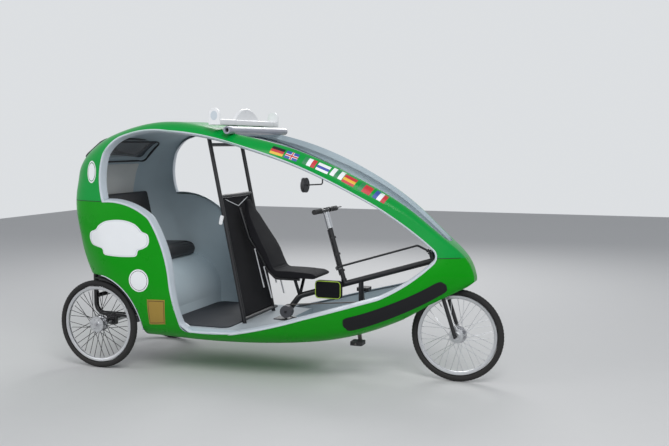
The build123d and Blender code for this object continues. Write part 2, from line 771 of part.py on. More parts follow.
with BuildPart() as brake_levers:
    for side in (1, -1):
        inner = Vector(*column_point(column_length, side * (handlebar_half_width - grip_length - 28)))
        with BuildSketch(Plane(origin=inner, z_dir=(0, side, 0))):
            Circle(bar_diameter / 2 + 6)
        extrude(amount=22)
        blade_y = side * (handlebar_half_width - grip_length - 17)
        blade = [(12, 0), (46, 14), (46, 112)]
        along = column_plane.z_dir
        ahead = Vector(along.Z, 0, -along.X)
        root = Vector(*column_point(column_length, blade_y))
        points = [root + ahead * a + Vector(0, side * b, 0) for a, b in blade]
        tube(points, 9, 12)
        with BuildSketch(Plane(origin=inner - Vector(0, side * 5, 0), z_dir=(0, side, 0))):
            Circle(bar_diameter / 2 + seat_gap)
        extrude(amount=34, mode=Mode.SUBTRACT)
brake_levers.part.label = "brake_levers"
export_step(brake_levers.part, "parts/brake_levers.step")

# Tie rod: an eye on the column's pin and a looser eye on the fork's pin
eye_height = 10.0
eye_drift = 3.5
rod_diameter = 14.0
rear_eye = column_point(column_arm_along + arm_thickness + 2, -steering_arm)
front_eye = fork_point(arm_low + arm_thickness + 4, -steering_arm)
with BuildPart() as tie_rod:
    lift = Vector(0, 0, eye_height / 2)
    rod = [
        Vector(*rear_eye) + column_plane.z_dir * (eye_height / 2) + Vector(10, 0, 6),
        Vector(at(2150), -steering_arm, 889),
        Vector(*front_eye) + fork_plane.z_dir * (eye_height / 2) - Vector(10, 0, -3),
    ]
    tube(rod, rod_diameter, 30)
    with BuildSketch(Plane(origin=rear_eye, z_dir=column_plane.z_dir)):
        Circle(14)
    extrude(amount=eye_height)
    with BuildSketch(Plane(origin=front_eye, z_dir=fork_plane.z_dir)):
        Circle(17)
    extrude(amount=eye_height)
    with BuildSketch(Plane(origin=Vector(*rear_eye) - column_plane.z_dir * 20, z_dir=column_plane.z_dir)):
        Circle(tie_pin_radius + pin_gap)
    extrude(amount=60, mode=Mode.SUBTRACT)
    with BuildSketch(Plane(origin=Vector(*front_eye) - fork_plane.z_dir * 20, z_dir=fork_plane.z_dir)):
        Circle(tie_pin_radius + eye_drift)
    extrude(amount=60, mode=Mode.SUBTRACT)
tie_rod.part.label = "tie_rod"
export_step(tie_rod.part, "parts/tie_rod.step")

# Cranks, chainring, pedals, gear hub and chain
crank_lean = 8.0
arm_half_thickness = 7.0
pedal_pin_radius = 6.0


def crank_end(side):
    """Row point of a pedal's pin at its crank arm: the right-hand arm hangs down."""
    a = radians(crank_lean)
    x, z = crank_length * sin(a), -crank_length * cos(a)
    return at(crank_station) - side * x, side * crank_offset, crank_height - side * z


with BuildPart() as crankset:
    reach = crank_offset + arm_half_thickness
    axle = [(at(crank_station), side * reach, crank_height) for side in (-1, 1)]
    tube(axle, 2 * crank_axle_radius)
    with BuildSketch(Plane(origin=(at(crank_station), -chain_offset, crank_height), z_dir=(0, -1, 0))):
        Circle(chainring_radius)
        with PolarLocations(chainring_radius * 0.6, 5):
            Circle(18, mode=Mode.SUBTRACT)
    extrude(amount=2, both=True)
    for side in (1, -1):
        x, y, z = crank_end(side)
        with BuildSketch(Plane(origin=(at(crank_station), y, crank_height), x_dir=(1, 0, 0), z_dir=(0, -1, 0))):
            dx, dz = x - at(crank_station), z - crank_height
            with Locations((0, 0)):
                Circle(20)
            with Locations((dx, dz)):
                Circle(14)
            with Locations(Location((dx / 2, dz / 2), degrees(atan2(dz, dx)))):
                Rectangle(crank_length, 24)
        extrude(amount=arm_half_thickness, both=True)
        tube([(x, y, z), (x, y + side * (arm_half_thickness + pedal_width + 6), z)], 2 * pedal_pin_radius)
crankset.part.label = "crankset"
export_step(crankset.part, "parts/crankset.step")

for side, name in ((1, "pedal_left"), (-1, "pedal_right")):
    x, y, z = crank_end(side)
    with BuildPart() as pedal:
        middle = y + side * (arm_half_thickness + 2 + pedal_width / 2)
        with Locations((x, middle, z)):
            Box(pedal_length, pedal_width, 24)
        fillet(pedal.edges().filter_by(Axis.Z), 14)
        with BuildSketch(Plane(origin=(x, middle - pedal_width, z), z_dir=(0, 1, 0))):
            Circle(pedal_pin_radius + pin_gap)
        extrude(amount=2 * pedal_width, mode=Mode.SUBTRACT)
    pedal.part.label = name
    export_step(pedal.part, f"parts/{name}.step")

sprocket_radius = 36.0
with BuildPart() as gear_hub:
    # Columns: radius, first y, last y
    sprocket = (sprocket_radius, -chain_offset - 2, -chain_offset + 2)
    for radius, y0, y1 in ((42, -112, -66), (20, -66, -26), sprocket):
        with BuildSketch(Plane(origin=(at(gear_hub_station), y0, gear_hub_height), z_dir=(0, 1, 0))):
            Circle(radius)
        extrude(amount=y1 - y0)
    with BuildSketch(Plane(origin=(at(gear_hub_station), -130, gear_hub_height), z_dir=(0, 1, 0))):
        Circle(8 + seat_gap)
    extrude(amount=130, mode=Mode.SUBTRACT)
gear_hub.part.label = "gear_hub"
export_step(gear_hub.part, "parts/gear_hub.step")

chain_gap = 0.6
chain_height = 8.0
with BuildPart() as chain:
    chain_plane = Plane(origin=(0, -chain_offset, 0), x_dir=(1, 0, 0), z_dir=(0, -1, 0))
    with BuildSketch(chain_plane) as loop:
        with Locations((at(crank_station), crank_height)):
            Circle(chainring_radius + chain_gap + chain_height)
        with Locations((at(gear_hub_station), gear_hub_height)):
            Circle(sprocket_radius + chain_gap + chain_height)
        make_hull()
    extrude(amount=3.5, both=True)
    with BuildSketch(chain_plane) as inside:
        with Locations((at(crank_station), crank_height)):
            Circle(chainring_radius + chain_gap)
        with Locations((at(gear_hub_station), gear_hub_height)):
            Circle(sprocket_radius + chain_gap)
        make_hull()
    extrude(amount=10, both=True, mode=Mode.SUBTRACT)
chain.part.label = "chain"
export_step(chain.part, "parts/chain.step")

# Roof sign with its two brackets, which lie on the roof and carry the rolled cover too
sign_base = 1664.0
sign_station = 900.0
sign_length = 78.0
sign_half_width = 470.0
plate_thickness = 14.0
bar_height = 40.0
dome_rise = 80.0
dome_radius = 258.0
bracket_offset = 210.0
bracket_half_width = 14.0
bracket_reach = 120.0
roof_skin = body_loft(BODY, -seat_gap)
with BuildPart() as roof_sign:
    with Locations((at(sign_station), 0, sign_base + bar_height / 2)):
        Box(sign_length, 2 * (sign_half_width - plate_thickness), bar_height)
    for side in (1, -1):
        face = side * (sign_half_width - plate_thickness)
        with BuildSketch(Plane(origin=(at(sign_station), face, sign_base), x_dir=(1, 0, 0), z_dir=(0, -1, 0))):
            SlotCenterPoint((0, 34.5), (0, 0), 84)
            with Locations((0, -50)):
                Rectangle(200, 100, mode=Mode.SUBTRACT)
        extrude(amount=-side * plate_thickness)
    dome_foot = (at(sign_station), 0, sign_base + bar_height - 1)
    with BuildSketch(Plane(origin=dome_foot, x_dir=(0, 1, 0), z_dir=(1, 0, 0))):
        with Locations((0, dome_rise - dome_radius)):
            Circle(dome_radius)
        with Locations((0, dome_rise / 2)):
            Rectangle(2 * dome_radius, dome_rise, mode=Mode.INTERSECT)
    extrude(amount=12, both=True)
with BuildPart() as brackets:
    for side in (1, -1):
        with BuildSketch(side_plane(side * bracket_offset)):
            with BuildLine():
                back, front = at(sign_station - sign_length / 2), at(sign_station + sign_length / 2)
                outline = [
                    (back, sign_base + 1), (front, sign_base + 1), (front, sign_base - bracket_reach),
                    (back, sign_base - bracket_reach),
                ]
                Polyline(*outline, close=True)
            make_face()
        extrude(amount=bracket_half_width, both=True)
sign = roof_sign.part + (brackets.part - roof_skin)
sign.label = "roof_sign"
export_step(sign, "parts/roof_sign.step")

with BuildPart() as rain_roll:
    ends = [(at(roll_station), side * roll_half_length, roll_height) for side in (-1, 1)]
    tube(ends, 2 * roll_radius)
rain_roll.part.label = "rain_roll"
export_step(rain_roll.part, "parts/rain_roll.step")

# Mirror under the right-hand rail
mirror_centre = (at(1463), -300.0, 1279.0)
mirror_width = 76.0
mirror_height = 96.0
mirror_turn = 8.5
mirror_foot = (at(1590), -317.0, 1322.1)
with BuildPart() as mirror:
    with BuildSketch(Plane(origin=mirror_centre, x_dir=(0, 1, 0), z_dir=(-1, tan(radians(mirror_turn)), 0))):
        Ellipse(mirror_width / 2, mirror_height / 2)
    extrude(amount=12, both=True)
    tube([mirror_centre, (mirror_foot[0], mirror_foot[1], mirror_centre[2] + 8), mirror_foot], 9, 14)
mirror.part.label = "mirror"
export_step(mirror.part, "parts/mirror.step")

# Pouch on the right-hand side of the spine
pouch_station = 1530.0
pouch_height = 562.0
pouch_thickness = 44.0
with BuildPart() as side_pouch:
    with Locations((at(pouch_station), -(spine_diameter + pouch_thickness) / 2 - seat_gap, pouch_height)):
        Box(184, pouch_thickness, 120)
    fillet(side_pouch.edges().filter_by(Axis.Y), 18)
side_pouch.part.label = "side_pouch"
export_step(side_pouch.part, "parts/side_pouch.step")
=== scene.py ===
"""Looks of a cabin cycle rickshaw: paint, trim, wheels, padding, cloth and fittings round its CAD frame.

Lengths are millimetres until `place` turns them to the row frame in metres. A station is measured
forward from the rear axle, y to the left and z up.
"""

from math import atan2, cos, hypot, pi, radians, sin, tan

import bpy
import numpy as np
from bpy.props import FloatProperty, FloatVectorProperty, IntProperty, PointerProperty
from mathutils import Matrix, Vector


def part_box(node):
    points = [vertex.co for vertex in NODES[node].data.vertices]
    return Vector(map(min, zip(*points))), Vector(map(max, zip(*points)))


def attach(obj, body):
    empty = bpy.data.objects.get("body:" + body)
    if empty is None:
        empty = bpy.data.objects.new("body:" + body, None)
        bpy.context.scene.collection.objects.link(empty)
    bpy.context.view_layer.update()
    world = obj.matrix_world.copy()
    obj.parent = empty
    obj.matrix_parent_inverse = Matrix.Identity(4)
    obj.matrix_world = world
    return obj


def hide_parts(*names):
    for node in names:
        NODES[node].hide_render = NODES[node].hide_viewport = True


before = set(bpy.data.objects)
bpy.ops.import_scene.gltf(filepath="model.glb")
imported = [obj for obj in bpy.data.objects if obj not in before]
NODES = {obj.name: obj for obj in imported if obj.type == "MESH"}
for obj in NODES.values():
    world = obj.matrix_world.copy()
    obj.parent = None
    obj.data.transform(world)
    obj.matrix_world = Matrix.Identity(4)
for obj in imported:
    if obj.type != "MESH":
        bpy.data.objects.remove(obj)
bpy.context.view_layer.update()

bl_info = {
    "name": "Cabin cycle rickshaw",
    "version": (1, 0, 0),
    "blender": (4, 5, 0),
    "location": "3D View > Sidebar > Rickshaw",
    "description": "Dresses the frame of a cabin cycle rickshaw",
    "category": "Object",
}

AXLE_X = -1202.5
SIDES = ((-1, "right"), (1, "left"))
WHEEL_RADIUS = 305.0
WELL_RADIUS = 340.0
TAIL_SEAM = 1153.0
NOSE_SEAM = 822.0
RAYS_AT_ONCE = 64


# Places and surfaces


def place(points):
    """Row frame, metres: (station + rear axle's X, y, z) / 1000."""
    out = np.array(points, dtype=float)
    out[..., 0] += AXLE_X
    return out / 1000.0


def box_mm(node):
    """Lowest and highest corner of a CAD node, as station, y and z in millimetres."""
    low, high = (np.array(corner, dtype=float) * 1000.0 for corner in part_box(node))
    low[0] -= AXLE_X
    high[0] -= AXLE_X
    return low, high


def unit(vectors):
    """Vectors scaled to length 1 along their last axis."""
    return vectors / np.linalg.norm(vectors, axis=-1, keepdims=True)


def quads(rows, columns, round_rows=False, round_columns=False):
    """Faces of a grid: corner (i, j) joins (i, j+1), (i+1, j+1) and (i+1, j), wrapping where round."""
    i = np.arange(rows if round_rows else rows - 1)[:, None]
    j = np.arange(columns if round_columns else columns - 1)[None, :]
    up, on = (i + 1) % rows, (j + 1) % columns
    corners = (i * columns + j, i * columns + on, up * columns + on, up * columns + j)
    return np.stack(corners, -1).reshape(-1, 4)


def surface(points, round_rows=False, round_columns=False):
    """A grid of points, rows x columns x 3, as one patch."""
    points = np.asarray(points, dtype=float)
    rows, columns = points.shape[:2]
    return points.reshape(-1, 3), [quads(rows, columns, round_rows, round_columns)]


def carried(path, profile, across=(0.0, 1.0, 0.0), closed=False):
    """Profile carried along a path: p(s) + u n(s) + v b(s), with n square to the tangent t and b = t x n."""
    path = np.asarray(path, dtype=float)
    profile = np.asarray(profile, dtype=float)
    if closed:
        tangent = np.roll(path, -1, 0) - np.roll(path, 1, 0)
    else:
        tangent = np.gradient(path, axis=0)
    tangent = unit(tangent)
    side = np.broadcast_to(np.asarray(across, dtype=float), path.shape)
    side = unit(side - (side * tangent).sum(1)[:, None] * tangent)
    upward = np.cross(tangent, side)
    if profile.ndim == 2:
        profile = np.broadcast_to(profile, (len(path), *profile.shape))
    points = path[:, None] + profile[..., :1] * side[:, None] + profile[..., 1:] * upward[:, None]
    verts, faces = surface(points, closed, True)
    if not closed:
        count = profile.shape[1]
        faces += [np.arange(count)[None, ::-1], (len(path) - 1) * count + np.arange(count)[None, :]]
    return verts, faces


def ring(radius, sides=12, high=None):
    """Ellipse of half-axes radius and high: (radius cos a, high sin a)."""
    angle = np.arange(sides) * 2 * pi / sides
    return np.stack([radius * np.cos(angle), (high or radius) * np.sin(angle)], -1)


def tube(path, radius, sides=12, across=(0.0, 1.0, 0.0), closed=False):
    """Round tube: a circle carried along the path; radius may change from point to point."""
    radius = np.broadcast_to(np.asarray(radius, dtype=float), (len(path),))
    return carried(path, ring(1.0, sides)[None] * radius[:, None, None], across, closed)


def turned(profile, centre, segments=96, closed=False, ripple=None):
    """Profile of (radius, y) turned about a line along y: c + (r cos a, y, r sin a); ripple adds to r."""
    profile = np.asarray(profile, dtype=float)
    angle = (np.arange(segments) * 2 * pi / segments)[:, None]
    radius = np.broadcast_to(profile[None, :, 0], (segments, len(profile)))
    if ripple is not None:
        radius = radius + ripple(angle, profile[None])
    y = np.broadcast_to(profile[None, :, 1], radius.shape)
    points = np.stack([radius * np.cos(angle), y, radius * np.sin(angle)], -1)
    return surface(points + np.asarray(centre, dtype=float), True, closed)


def rods(starts, ends, radius, sides=8):
    """Straight round rods between pairs of points: p + r (n cos a + b sin a) at both ends."""
    starts, ends = np.asarray(starts, dtype=float), np.asarray(ends, dtype=float)
    run = unit(ends - starts)
    guide = np.where(np.abs(run[:, 1:2]) > 0.9, [[1.0, 0.0, 0.0]], [[0.0, 1.0, 0.0]])
    side = unit(np.cross(run, guide))
    other = np.cross(run, side)
    circle = ring(radius, sides)
    offset = circle[None, :, :1] * side[:, None] + circle[None, :, 1:] * other[:, None]
    points = np.stack([starts[:, None] + offset, ends[:, None] + offset], 1)
    base = np.arange(len(starts))[:, None] * 2 * sides
    faces = (base[:, :, None] + quads(2, sides, False, True)[None]).reshape(-1, 4)
    caps = base + np.arange(sides)[None]
    return points.reshape(-1, 3), [faces, caps[:, ::-1], caps + sides]


def plate(outline, low, high, bevel, origin, u, v, w):
    """Outline raised from low to high along w, its rims drawn in by the bevel: four rings and two caps."""
    outline = np.asarray(outline, dtype=float)
    nxt, last = np.roll(outline, -1, 0), np.roll(outline, 1, 0)
    run = unit(nxt - last)
    area = (outline[:, 0] * nxt[:, 1] - nxt[:, 0] * outline[:, 1]).sum()
    inward = np.stack([-run[:, 1], run[:, 0]], -1) * np.sign(area)
    drawn = outline + bevel * inward
    layers = [(drawn, low), (outline, low + bevel), (outline, high - bevel), (drawn, high)]
    u, v, w = (np.asarray(a, dtype=float) for a in (u, v, w))
    points = [np.asarray(origin) + s[:, :1] * u + s[:, 1:] * v + h * w for s, h in layers]
    verts, faces = surface(np.stack(points), False, True)
    count = len(outline)
    return verts, [*faces, np.arange(count)[None, ::-1], 3 * count + np.arange(count)[None]]


def arc(centre, radius, first, last, steps=10):
    """Points of a circle's arc between two angles in degrees."""
    angle = np.radians(np.linspace(first, last, steps))
    return np.stack([centre[0] + radius * np.cos(angle), centre[1] + radius * np.sin(angle)], -1)


def rounded(width, height, radius, steps=7):
    """Rounded rectangle about the origin: four quarter arcs."""
    x, y = width / 2 - radius, height / 2 - radius
    corners = ((x, y, 0), (-x, y, 90), (-x, -y, 180), (x, -y, 270))
    return np.concatenate([arc((a, b), radius, start, start + 90, steps) for a, b, start in corners])


def flowing(points, count):
    """Smooth path through points: Catmull-Rom pieces sampled evenly in their parameter."""
    points = np.asarray(points, dtype=float)
    padded = np.concatenate([2 * points[:1] - points[1:2], points, 2 * points[-1:] - points[-2:-1]])
    t = np.linspace(0, len(points) - 1 - 1e-9, count)
    k = t.astype(int)
    t = (t - k)[:, None]
    a, b, c, d = padded[k], padded[k + 1], padded[k + 2], padded[k + 3]
    return 0.5 * (2 * b + (c - a) * t + (2 * a - 5 * b + 4 * c - d) * t**2 + (3 * b - a - 3 * c + d) * t**3)


def by_three(points):
    """Arc through three points, sampled: its centre is where the bisectors meet."""
    a, b, c = (complex(*p) for p in points)
    w = (c - a) / (b - a)
    centre = (b - a) * (w - abs(w) ** 2) / (2j * w.imag) + a
    radius = abs(a - centre)
    first, middle, last = (np.angle(p - centre) for p in (a, b, c))
    sweep = (last - first) % (2 * pi)
    if (middle - first) % (2 * pi) > sweep:
        sweep -= 2 * pi
    angle = first + np.linspace(0, 1, 17)[:-1] * sweep
    return np.stack([centre.real + radius * np.cos(angle), centre.imag + radius * np.sin(angle)], -1)


# Pieces


def build(name, body, parts, materials, smooth=35.0, replaces=()):
    """One piece from patches: corners and faces are joined, and each patch keeps its own material."""
    verts, faces, index, offset = [], [], [], 0
    for part in parts:
        points, groups, which = (*part, 0)[:3]
        for group in groups:
            faces += (group + offset).tolist()
            index += [which] * len(group)
        verts.append(points)
        offset += len(points)
    mesh = bpy.data.meshes.new(name)
    mesh.from_pydata(place(np.concatenate(verts)).tolist(), [], faces)
    for material in materials:
        mesh.materials.append(material)
    mesh.polygons.foreach_set("material_index", index)
    mesh.update()
    obj = bpy.data.objects.new(name, mesh)
    bpy.context.scene.collection.objects.link(obj)
    if smooth:
        mesh.polygons.foreach_set("use_smooth", [True] * len(mesh.polygons))
        mesh.set_sharp_from_angle(angle=radians(smooth))
    if body:
        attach(obj, body)
    if replaces:
        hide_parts(*replaces)
    return obj


def with_material(part, which):
    """The same patch with another of its piece's materials."""
    return part[0], part[1], which


def triangles(*nodes):
    """Corner points of CAD nodes' triangles, in millimetres from the rear axle, n x 3 x 3."""
    out = []
    for node in nodes:
        mesh = NODES[node].data
        mesh.calc_loop_triangles()
        points = np.empty(len(mesh.vertices) * 3)
        mesh.vertices.foreach_get("co", points)
        corners = np.empty(len(mesh.loop_triangles) * 3, dtype=np.int32)
        mesh.loop_triangles.foreach_get("vertices", corners)
        out.append(points.reshape(-1, 3)[corners].reshape(-1, 3, 3) * 1000.0)
    out = np.concatenate(out)
    out[..., 0] -= AXLE_X
    return out


def on_skin(points, direction, faces, lift=0.0):
    """Where rays from the points along the direction first meet the triangles, lifted back towards the start.

    The meeting is o + t d with t from the plane of each triangle, kept where its corner shares are positive.
    """
    points = np.asarray(points, dtype=float)
    flat = points.reshape(-1, 3)
    d = np.asarray(direction, dtype=float)
    a, e1, e2 = faces[:, 0], faces[:, 1] - faces[:, 0], faces[:, 2] - faces[:, 0]
    p = np.cross(d, e2)
    det = (e1 * p).sum(1)
    keep = np.abs(det) > 1e-9
    a, e1, e2, p, det = a[keep], e1[keep], e2[keep], p[keep], det[keep]
    reach = np.full(len(flat), np.inf)
    depth = int(np.abs(d).argmax())
    axes = [k for k in range(3) if k != depth]
    slope = d[axes] / d[depth]
    seen = faces[keep][..., axes] - faces[keep][..., depth, None] * slope
    box_low, box_high = seen.min(1), seen.max(1)
    for start in range(0, len(flat), RAYS_AT_ONCE):
        chunk = flat[start : start + RAYS_AT_ONCE]
        spots = chunk[:, axes] - chunk[:, depth, None] * slope
        near = ((box_low <= spots.max(0) + 1) & (box_high >= spots.min(0) - 1)).all(1)
        if not near.any():
            continue
        s = chunk[:, None] - a[None, near]
        u = (s * p[near]).sum(2) / det[near]
        q = np.cross(s, e1[None, near])
        v = (q @ d) / det[near]
        t = (q * e2[near]).sum(2) / det[near]
        hit = (u > -1e-4) & (v > -1e-4) & (u + v < 1.0001) & (t > 0)
        reach[start : start + RAYS_AT_ONCE] = np.where(hit, t, np.inf).min(1)
    known = np.isfinite(reach)
    if not known.any():
        raise ValueError(f"nothing of the body lies under {flat[0]}")
    if not known.all():
        reach = np.interp(np.arange(len(reach)), np.flatnonzero(known), reach[known])
    return (flat + (reach - lift)[:, None] * d).reshape(points.shape)


SHELL = triangles("lower_hull", "canopy")
OUTSIDE = 900.0


def side_skin(grid, side, lift):
    """Points (station, z) laid on the outside of the body, seen from one side; side is 1 left, -1 right."""
    grid = np.asarray(grid, dtype=float)
    start = np.stack([grid[..., 0], np.full(grid.shape[:-1], side * OUTSIDE), grid[..., 1]], -1)
    return on_skin(start, (0.0, -float(side), 0.0), SHELL, lift)


def sticker(centre, outline, side, lift=1.0, rings=9):
    """A flat label laid on the body: c + s (outline - c), s from 0 to 1, projected on the skin."""
    centre, outline = np.asarray(centre, dtype=float), np.asarray(outline, dtype=float)
    share = np.linspace(0.02, 1.0, rings)[:, None, None]
    points = side_skin(centre + share * (outline - centre)[None], side, lift)
    verts, faces = surface(points, False, True)
    return verts, [*faces, np.arange(len(outline))[None]]


# Finishes

GLOSS_SPREAD = 0.1
COAT_ROUGHNESS = 0.08
# Dark brown that low surfaces are mixed towards: some dust, and painted shade low in the tub
DUST_AND_SHADE = (0.12, 0.11, 0.1, 1)
# Heights in metres between which the dust and the painted shade thin out
DUST_AND_SHADE_TOP, DUST_AND_SHADE_FOOT = 0.75, 0.2


def finish(name, colour, rough, metal, scale, bump, depth, vary, pattern="noise", coat=0.0, alpha=1.0,
           sheen=0.0, stretch=(1.0, 1.0, 1.0), soil=0.0, shine=0.5):
    """Procedural surface on Object coordinates.

    Colour: base x (1 + vary x broad noise), mixed low down towards dark brown, partly dust and partly painted
    shade. Roughness: rough + spread x noise.
    Relief: the named pattern through a bump of the given strength and depth in millimetres.
    """
    material = bpy.data.materials.new(name)
    material.use_nodes = True
    tree = material.node_tree
    shader = tree.nodes["Principled BSDF"]
    link = tree.links.new

    def node(kind, **values):
        made = tree.nodes.new(kind)
        for key, value in values.items():
            if hasattr(made, key):
                setattr(made, key, value)
            else:
                made.inputs[key.replace("_", " ")].default_value = value
        return made

    coordinates = node("ShaderNodeTexCoord").outputs["Object"]
    fit = node("ShaderNodeMapping", Scale=stretch)
    link(coordinates, fit.inputs["Vector"])

    def texture(kind, output, **values):
        made = node(kind, **values)
        link(fit.outputs["Vector"], made.inputs["Vector"])
        return made.outputs[output]

    broad = texture("ShaderNodeTexNoise", "Fac", Scale=7.0, Detail=4.0, Roughness=0.6)
    fine = texture("ShaderNodeTexNoise", "Fac", Scale=scale, Detail=3.0, Roughness=0.55)

    tint = node("ShaderNodeMix", data_type="RGBA")
    for socket, share in ((6, 1 - vary), (7, 1 + vary)):
        tint.inputs[socket].default_value = (*(min(1.0, c * share) for c in colour), 1)
    link(broad, tint.inputs[0])
    shade = tint.outputs[2]
    # Painted shade and dust: below the top height the colour darkens towards the dark brown, patchy by the fine
    # noise
    if soil:
        split = node("ShaderNodeSeparateXYZ")
        link(coordinates, split.inputs[0])
        low = node("ShaderNodeMapRange", From_Min=DUST_AND_SHADE_TOP, From_Max=DUST_AND_SHADE_FOOT, To_Min=0.0, To_Max=soil)
        link(split.outputs["Z"], low.inputs["Value"])
        patchy = node("ShaderNodeMath", operation="MULTIPLY")
        link(low.outputs[0], patchy.inputs[0])
        link(fine, patchy.inputs[1])
        dusty_shaded = node("ShaderNodeMix", data_type="RGBA")
        dusty_shaded.inputs[7].default_value = DUST_AND_SHADE
        link(patchy.outputs[0], dusty_shaded.inputs[0])
        link(shade, dusty_shaded.inputs[6])
        shade = dusty_shaded.outputs[2]
    link(shade, shader.inputs["Base Color"])

    least, most = max(0.02, rough - GLOSS_SPREAD / 2), min(1.0, rough + GLOSS_SPREAD / 2)
    gloss = node("ShaderNodeMapRange", From_Min=0.3, From_Max=0.7, To_Min=least, To_Max=most)
    link(broad, gloss.inputs["Value"])
    link(gloss.outputs[0], shader.inputs["Roughness"])

    relief = fine
    if pattern == "weave":
        crossed = node("ShaderNodeMath", operation="MULTIPLY")
        for k, direction in enumerate("XZ"):
            wave = texture("ShaderNodeTexWave", "Fac", wave_type="BANDS", bands_direction=direction, Scale=scale,
                           Distortion=0.4)
            link(wave, crossed.inputs[k])
        relief = crossed.outputs[0]
    elif pattern == "ribs":
        relief = texture("ShaderNodeTexWave", "Fac", wave_type="BANDS", bands_direction="X", Scale=scale,
                         Distortion=0.0)
    elif pattern == "leather":
        relief = texture("ShaderNodeTexVoronoi", "Distance", feature="DISTANCE_TO_EDGE", Scale=scale)
    raised = node("ShaderNodeBump", Strength=bump, Distance=depth / 1000.0)
    link(relief, raised.inputs["Height"])
    link(raised.outputs["Normal"], shader.inputs["Normal"])

    for socket, value in (("Metallic", metal), ("Coat Weight", coat), ("Coat Roughness", COAT_ROUGHNESS),
                          ("Sheen Weight", sheen), ("Alpha", alpha), ("Specular IOR Level", shine)):
        shader.inputs[socket].default_value = value
    return material


# Columns: material, colour (None: from the settings), roughness, metal, pattern's scale, bump, its depth
# in millimetres, variation of the colour, other arguments of finish
FINISHES = {
    "green": ("body_green", None, 0.3, 0, 420, 0.06, 0.15, 0.05, dict(coat=0.12, soil=0.12, shine=0.12)),
    "canopy": ("canopy_green", None, 0.32, 0, 420, 0.06, 0.15, 0.05, dict(coat=0.12, shine=0.12)),
    # The liner and floor darken low down: painted shade inside the tub, with some dust
    "liner": ("liner_grey", (0.5, 0.6, 0.65), 0.5, 0, 300, 0.15, 0.2, 0.07, dict(soil=0.35)),
    "lip": ("lip_grey", (0.56, 0.62, 0.67), 0.38, 0, 300, 0.1, 0.15, 0.05, dict(coat=0.15)),
    # Near-black painted shade for the wheel wells, the flat over them and the inside of the nose
    "shade": ("well_grey", (0.05, 0.052, 0.055), 0.8, 0, 160, 0.3, 0.4, 0.2, {}),
    "floor": ("floor_grey", (0.42, 0.48, 0.52), 0.6, 0, 180, 0.25, 0.3, 0.12, dict(soil=0.5)),
    "black": ("frame_black", (0.007, 0.007, 0.009), 0.36, 0, 350, 0.1, 0.4, 0.2, dict(coat=0.12)),
    "plastic": ("plastic_black", (0.02, 0.02, 0.022), 0.55, 0, 500, 0.25, 0.2, 0.15, {}),
    "rubber": ("tyre_rubber", (0.012, 0.012, 0.013), 0.75, 0, 260, 0.35, 0.4, 0.25, dict(soil=0.25, shine=0.3)),
    "grip": ("grip_rubber", (0.018, 0.018, 0.018), 0.8, 0, 600, 0.5, 0.4, 0.1, {}),
    "silver": ("rim_silver", (0.62, 0.63, 0.65), 0.3, 1, 240, 0.08, 0.4, 0.06, dict(stretch=(1, 8, 1))),
    "cast": ("hub_silver", (0.55, 0.56, 0.58), 0.42, 1, 380, 0.3, 0.4, 0.12, {}),
    "steel": ("steel", (0.5, 0.5, 0.52), 0.28, 1, 300, 0.1, 0.4, 0.1, dict(stretch=(1, 1, 6))),
    "motor": ("motor_grey", (0.09, 0.09, 0.1), 0.55, 0.6, 220, 0.4, 0.4, 0.2, {}),
    "oily": ("chain_steel", (0.16, 0.15, 0.14), 0.4, 1, 500, 0.4, 0.4, 0.3, {}),
    "mesh": ("seat_black", None, 0.85, 0, 110, 0.7, 0.9, 0.2, dict(pattern="weave", sheen=0.04, shine=0.2)),
    "leather": ("bench_black", (0.01, 0.01, 0.012), 0.48, 0, 230, 0.35, 0.4, 0.2,
                dict(pattern="leather", sheen=0.05)),
    "cloth": ("partition_black", (0.006, 0.006, 0.008), 0.9, 0, 240, 0.5, 0.4, 0.25,
              dict(pattern="weave", sheen=0.03, shine=0.2)),
    "mat": ("mat_grey", (0.018, 0.022, 0.03), 0.75, 0, 36, 0.8, 1.5, 0.25, dict(pattern="ribs")),
    "pale": ("panel_pale", (0.74, 0.745, 0.72), 0.45, 0, 260, 0.06, 0.4, 0.05, {}),
    "sign": ("sign_white", (0.8, 0.81, 0.82), 0.3, 0, 260, 0.06, 0.4, 0.04, dict(coat=0.3)),
    "cover": ("cover_clear", (0.27, 0.28, 0.33), 0.3, 0, 40, 0.35, 1.2, 0.2, dict(coat=0.3)),
    "glass": ("window_clear", (0.03, 0.035, 0.045), 0.12, 0, 30, 0.03, 0.4, 0.2, dict(coat=0.6, alpha=0.82)),
    "mirror": ("mirror_glass", (0.82, 0.84, 0.86), 0.05, 1, 20, 0.02, 0.4, 0.02, {}),
    "white": ("label_white", (0.84, 0.86, 0.88), 0.4, 0, 300, 0.04, 0.4, 0.03, {}),
    "gold": ("label_gold", (0.42, 0.27, 0.05), 0.42, 0.35, 200, 0.1, 0.4, 0.12, {}),
    "ink": ("label_black", (0.006, 0.006, 0.008), 0.5, 0, 300, 0.04, 0.4, 0.1, dict(shine=0.3)),
    "red": ("label_red", (0.55, 0.02, 0.03), 0.45, 0, 300, 0.04, 0.4, 0.06, {}),
    "yellow": ("label_yellow", (0.78, 0.47, 0.03), 0.45, 0, 300, 0.04, 0.4, 0.05, {}),
    "blue": ("label_blue", (0.03, 0.07, 0.36), 0.45, 0, 300, 0.04, 0.4, 0.06, {}),
    "leaf": ("label_leaf", (0.01, 0.22, 0.07), 0.45, 0, 300, 0.04, 0.4, 0.06, {}),
    "ground": ("floor_pale", (0.62, 0.62, 0.62), 0.85, 0, 8, 0.02, 0.4, 0.02, {}),
    "lime": ("piping_lime", (0.35, 0.52, 0.04), 0.6, 0, 400, 0.4, 0.4, 0.1, dict(pattern="weave")),
    "thread": ("seam_thread", (0.05, 0.05, 0.055), 0.75, 0, 800, 0.5, 0.4, 0.1, {}),
}
_made = {}


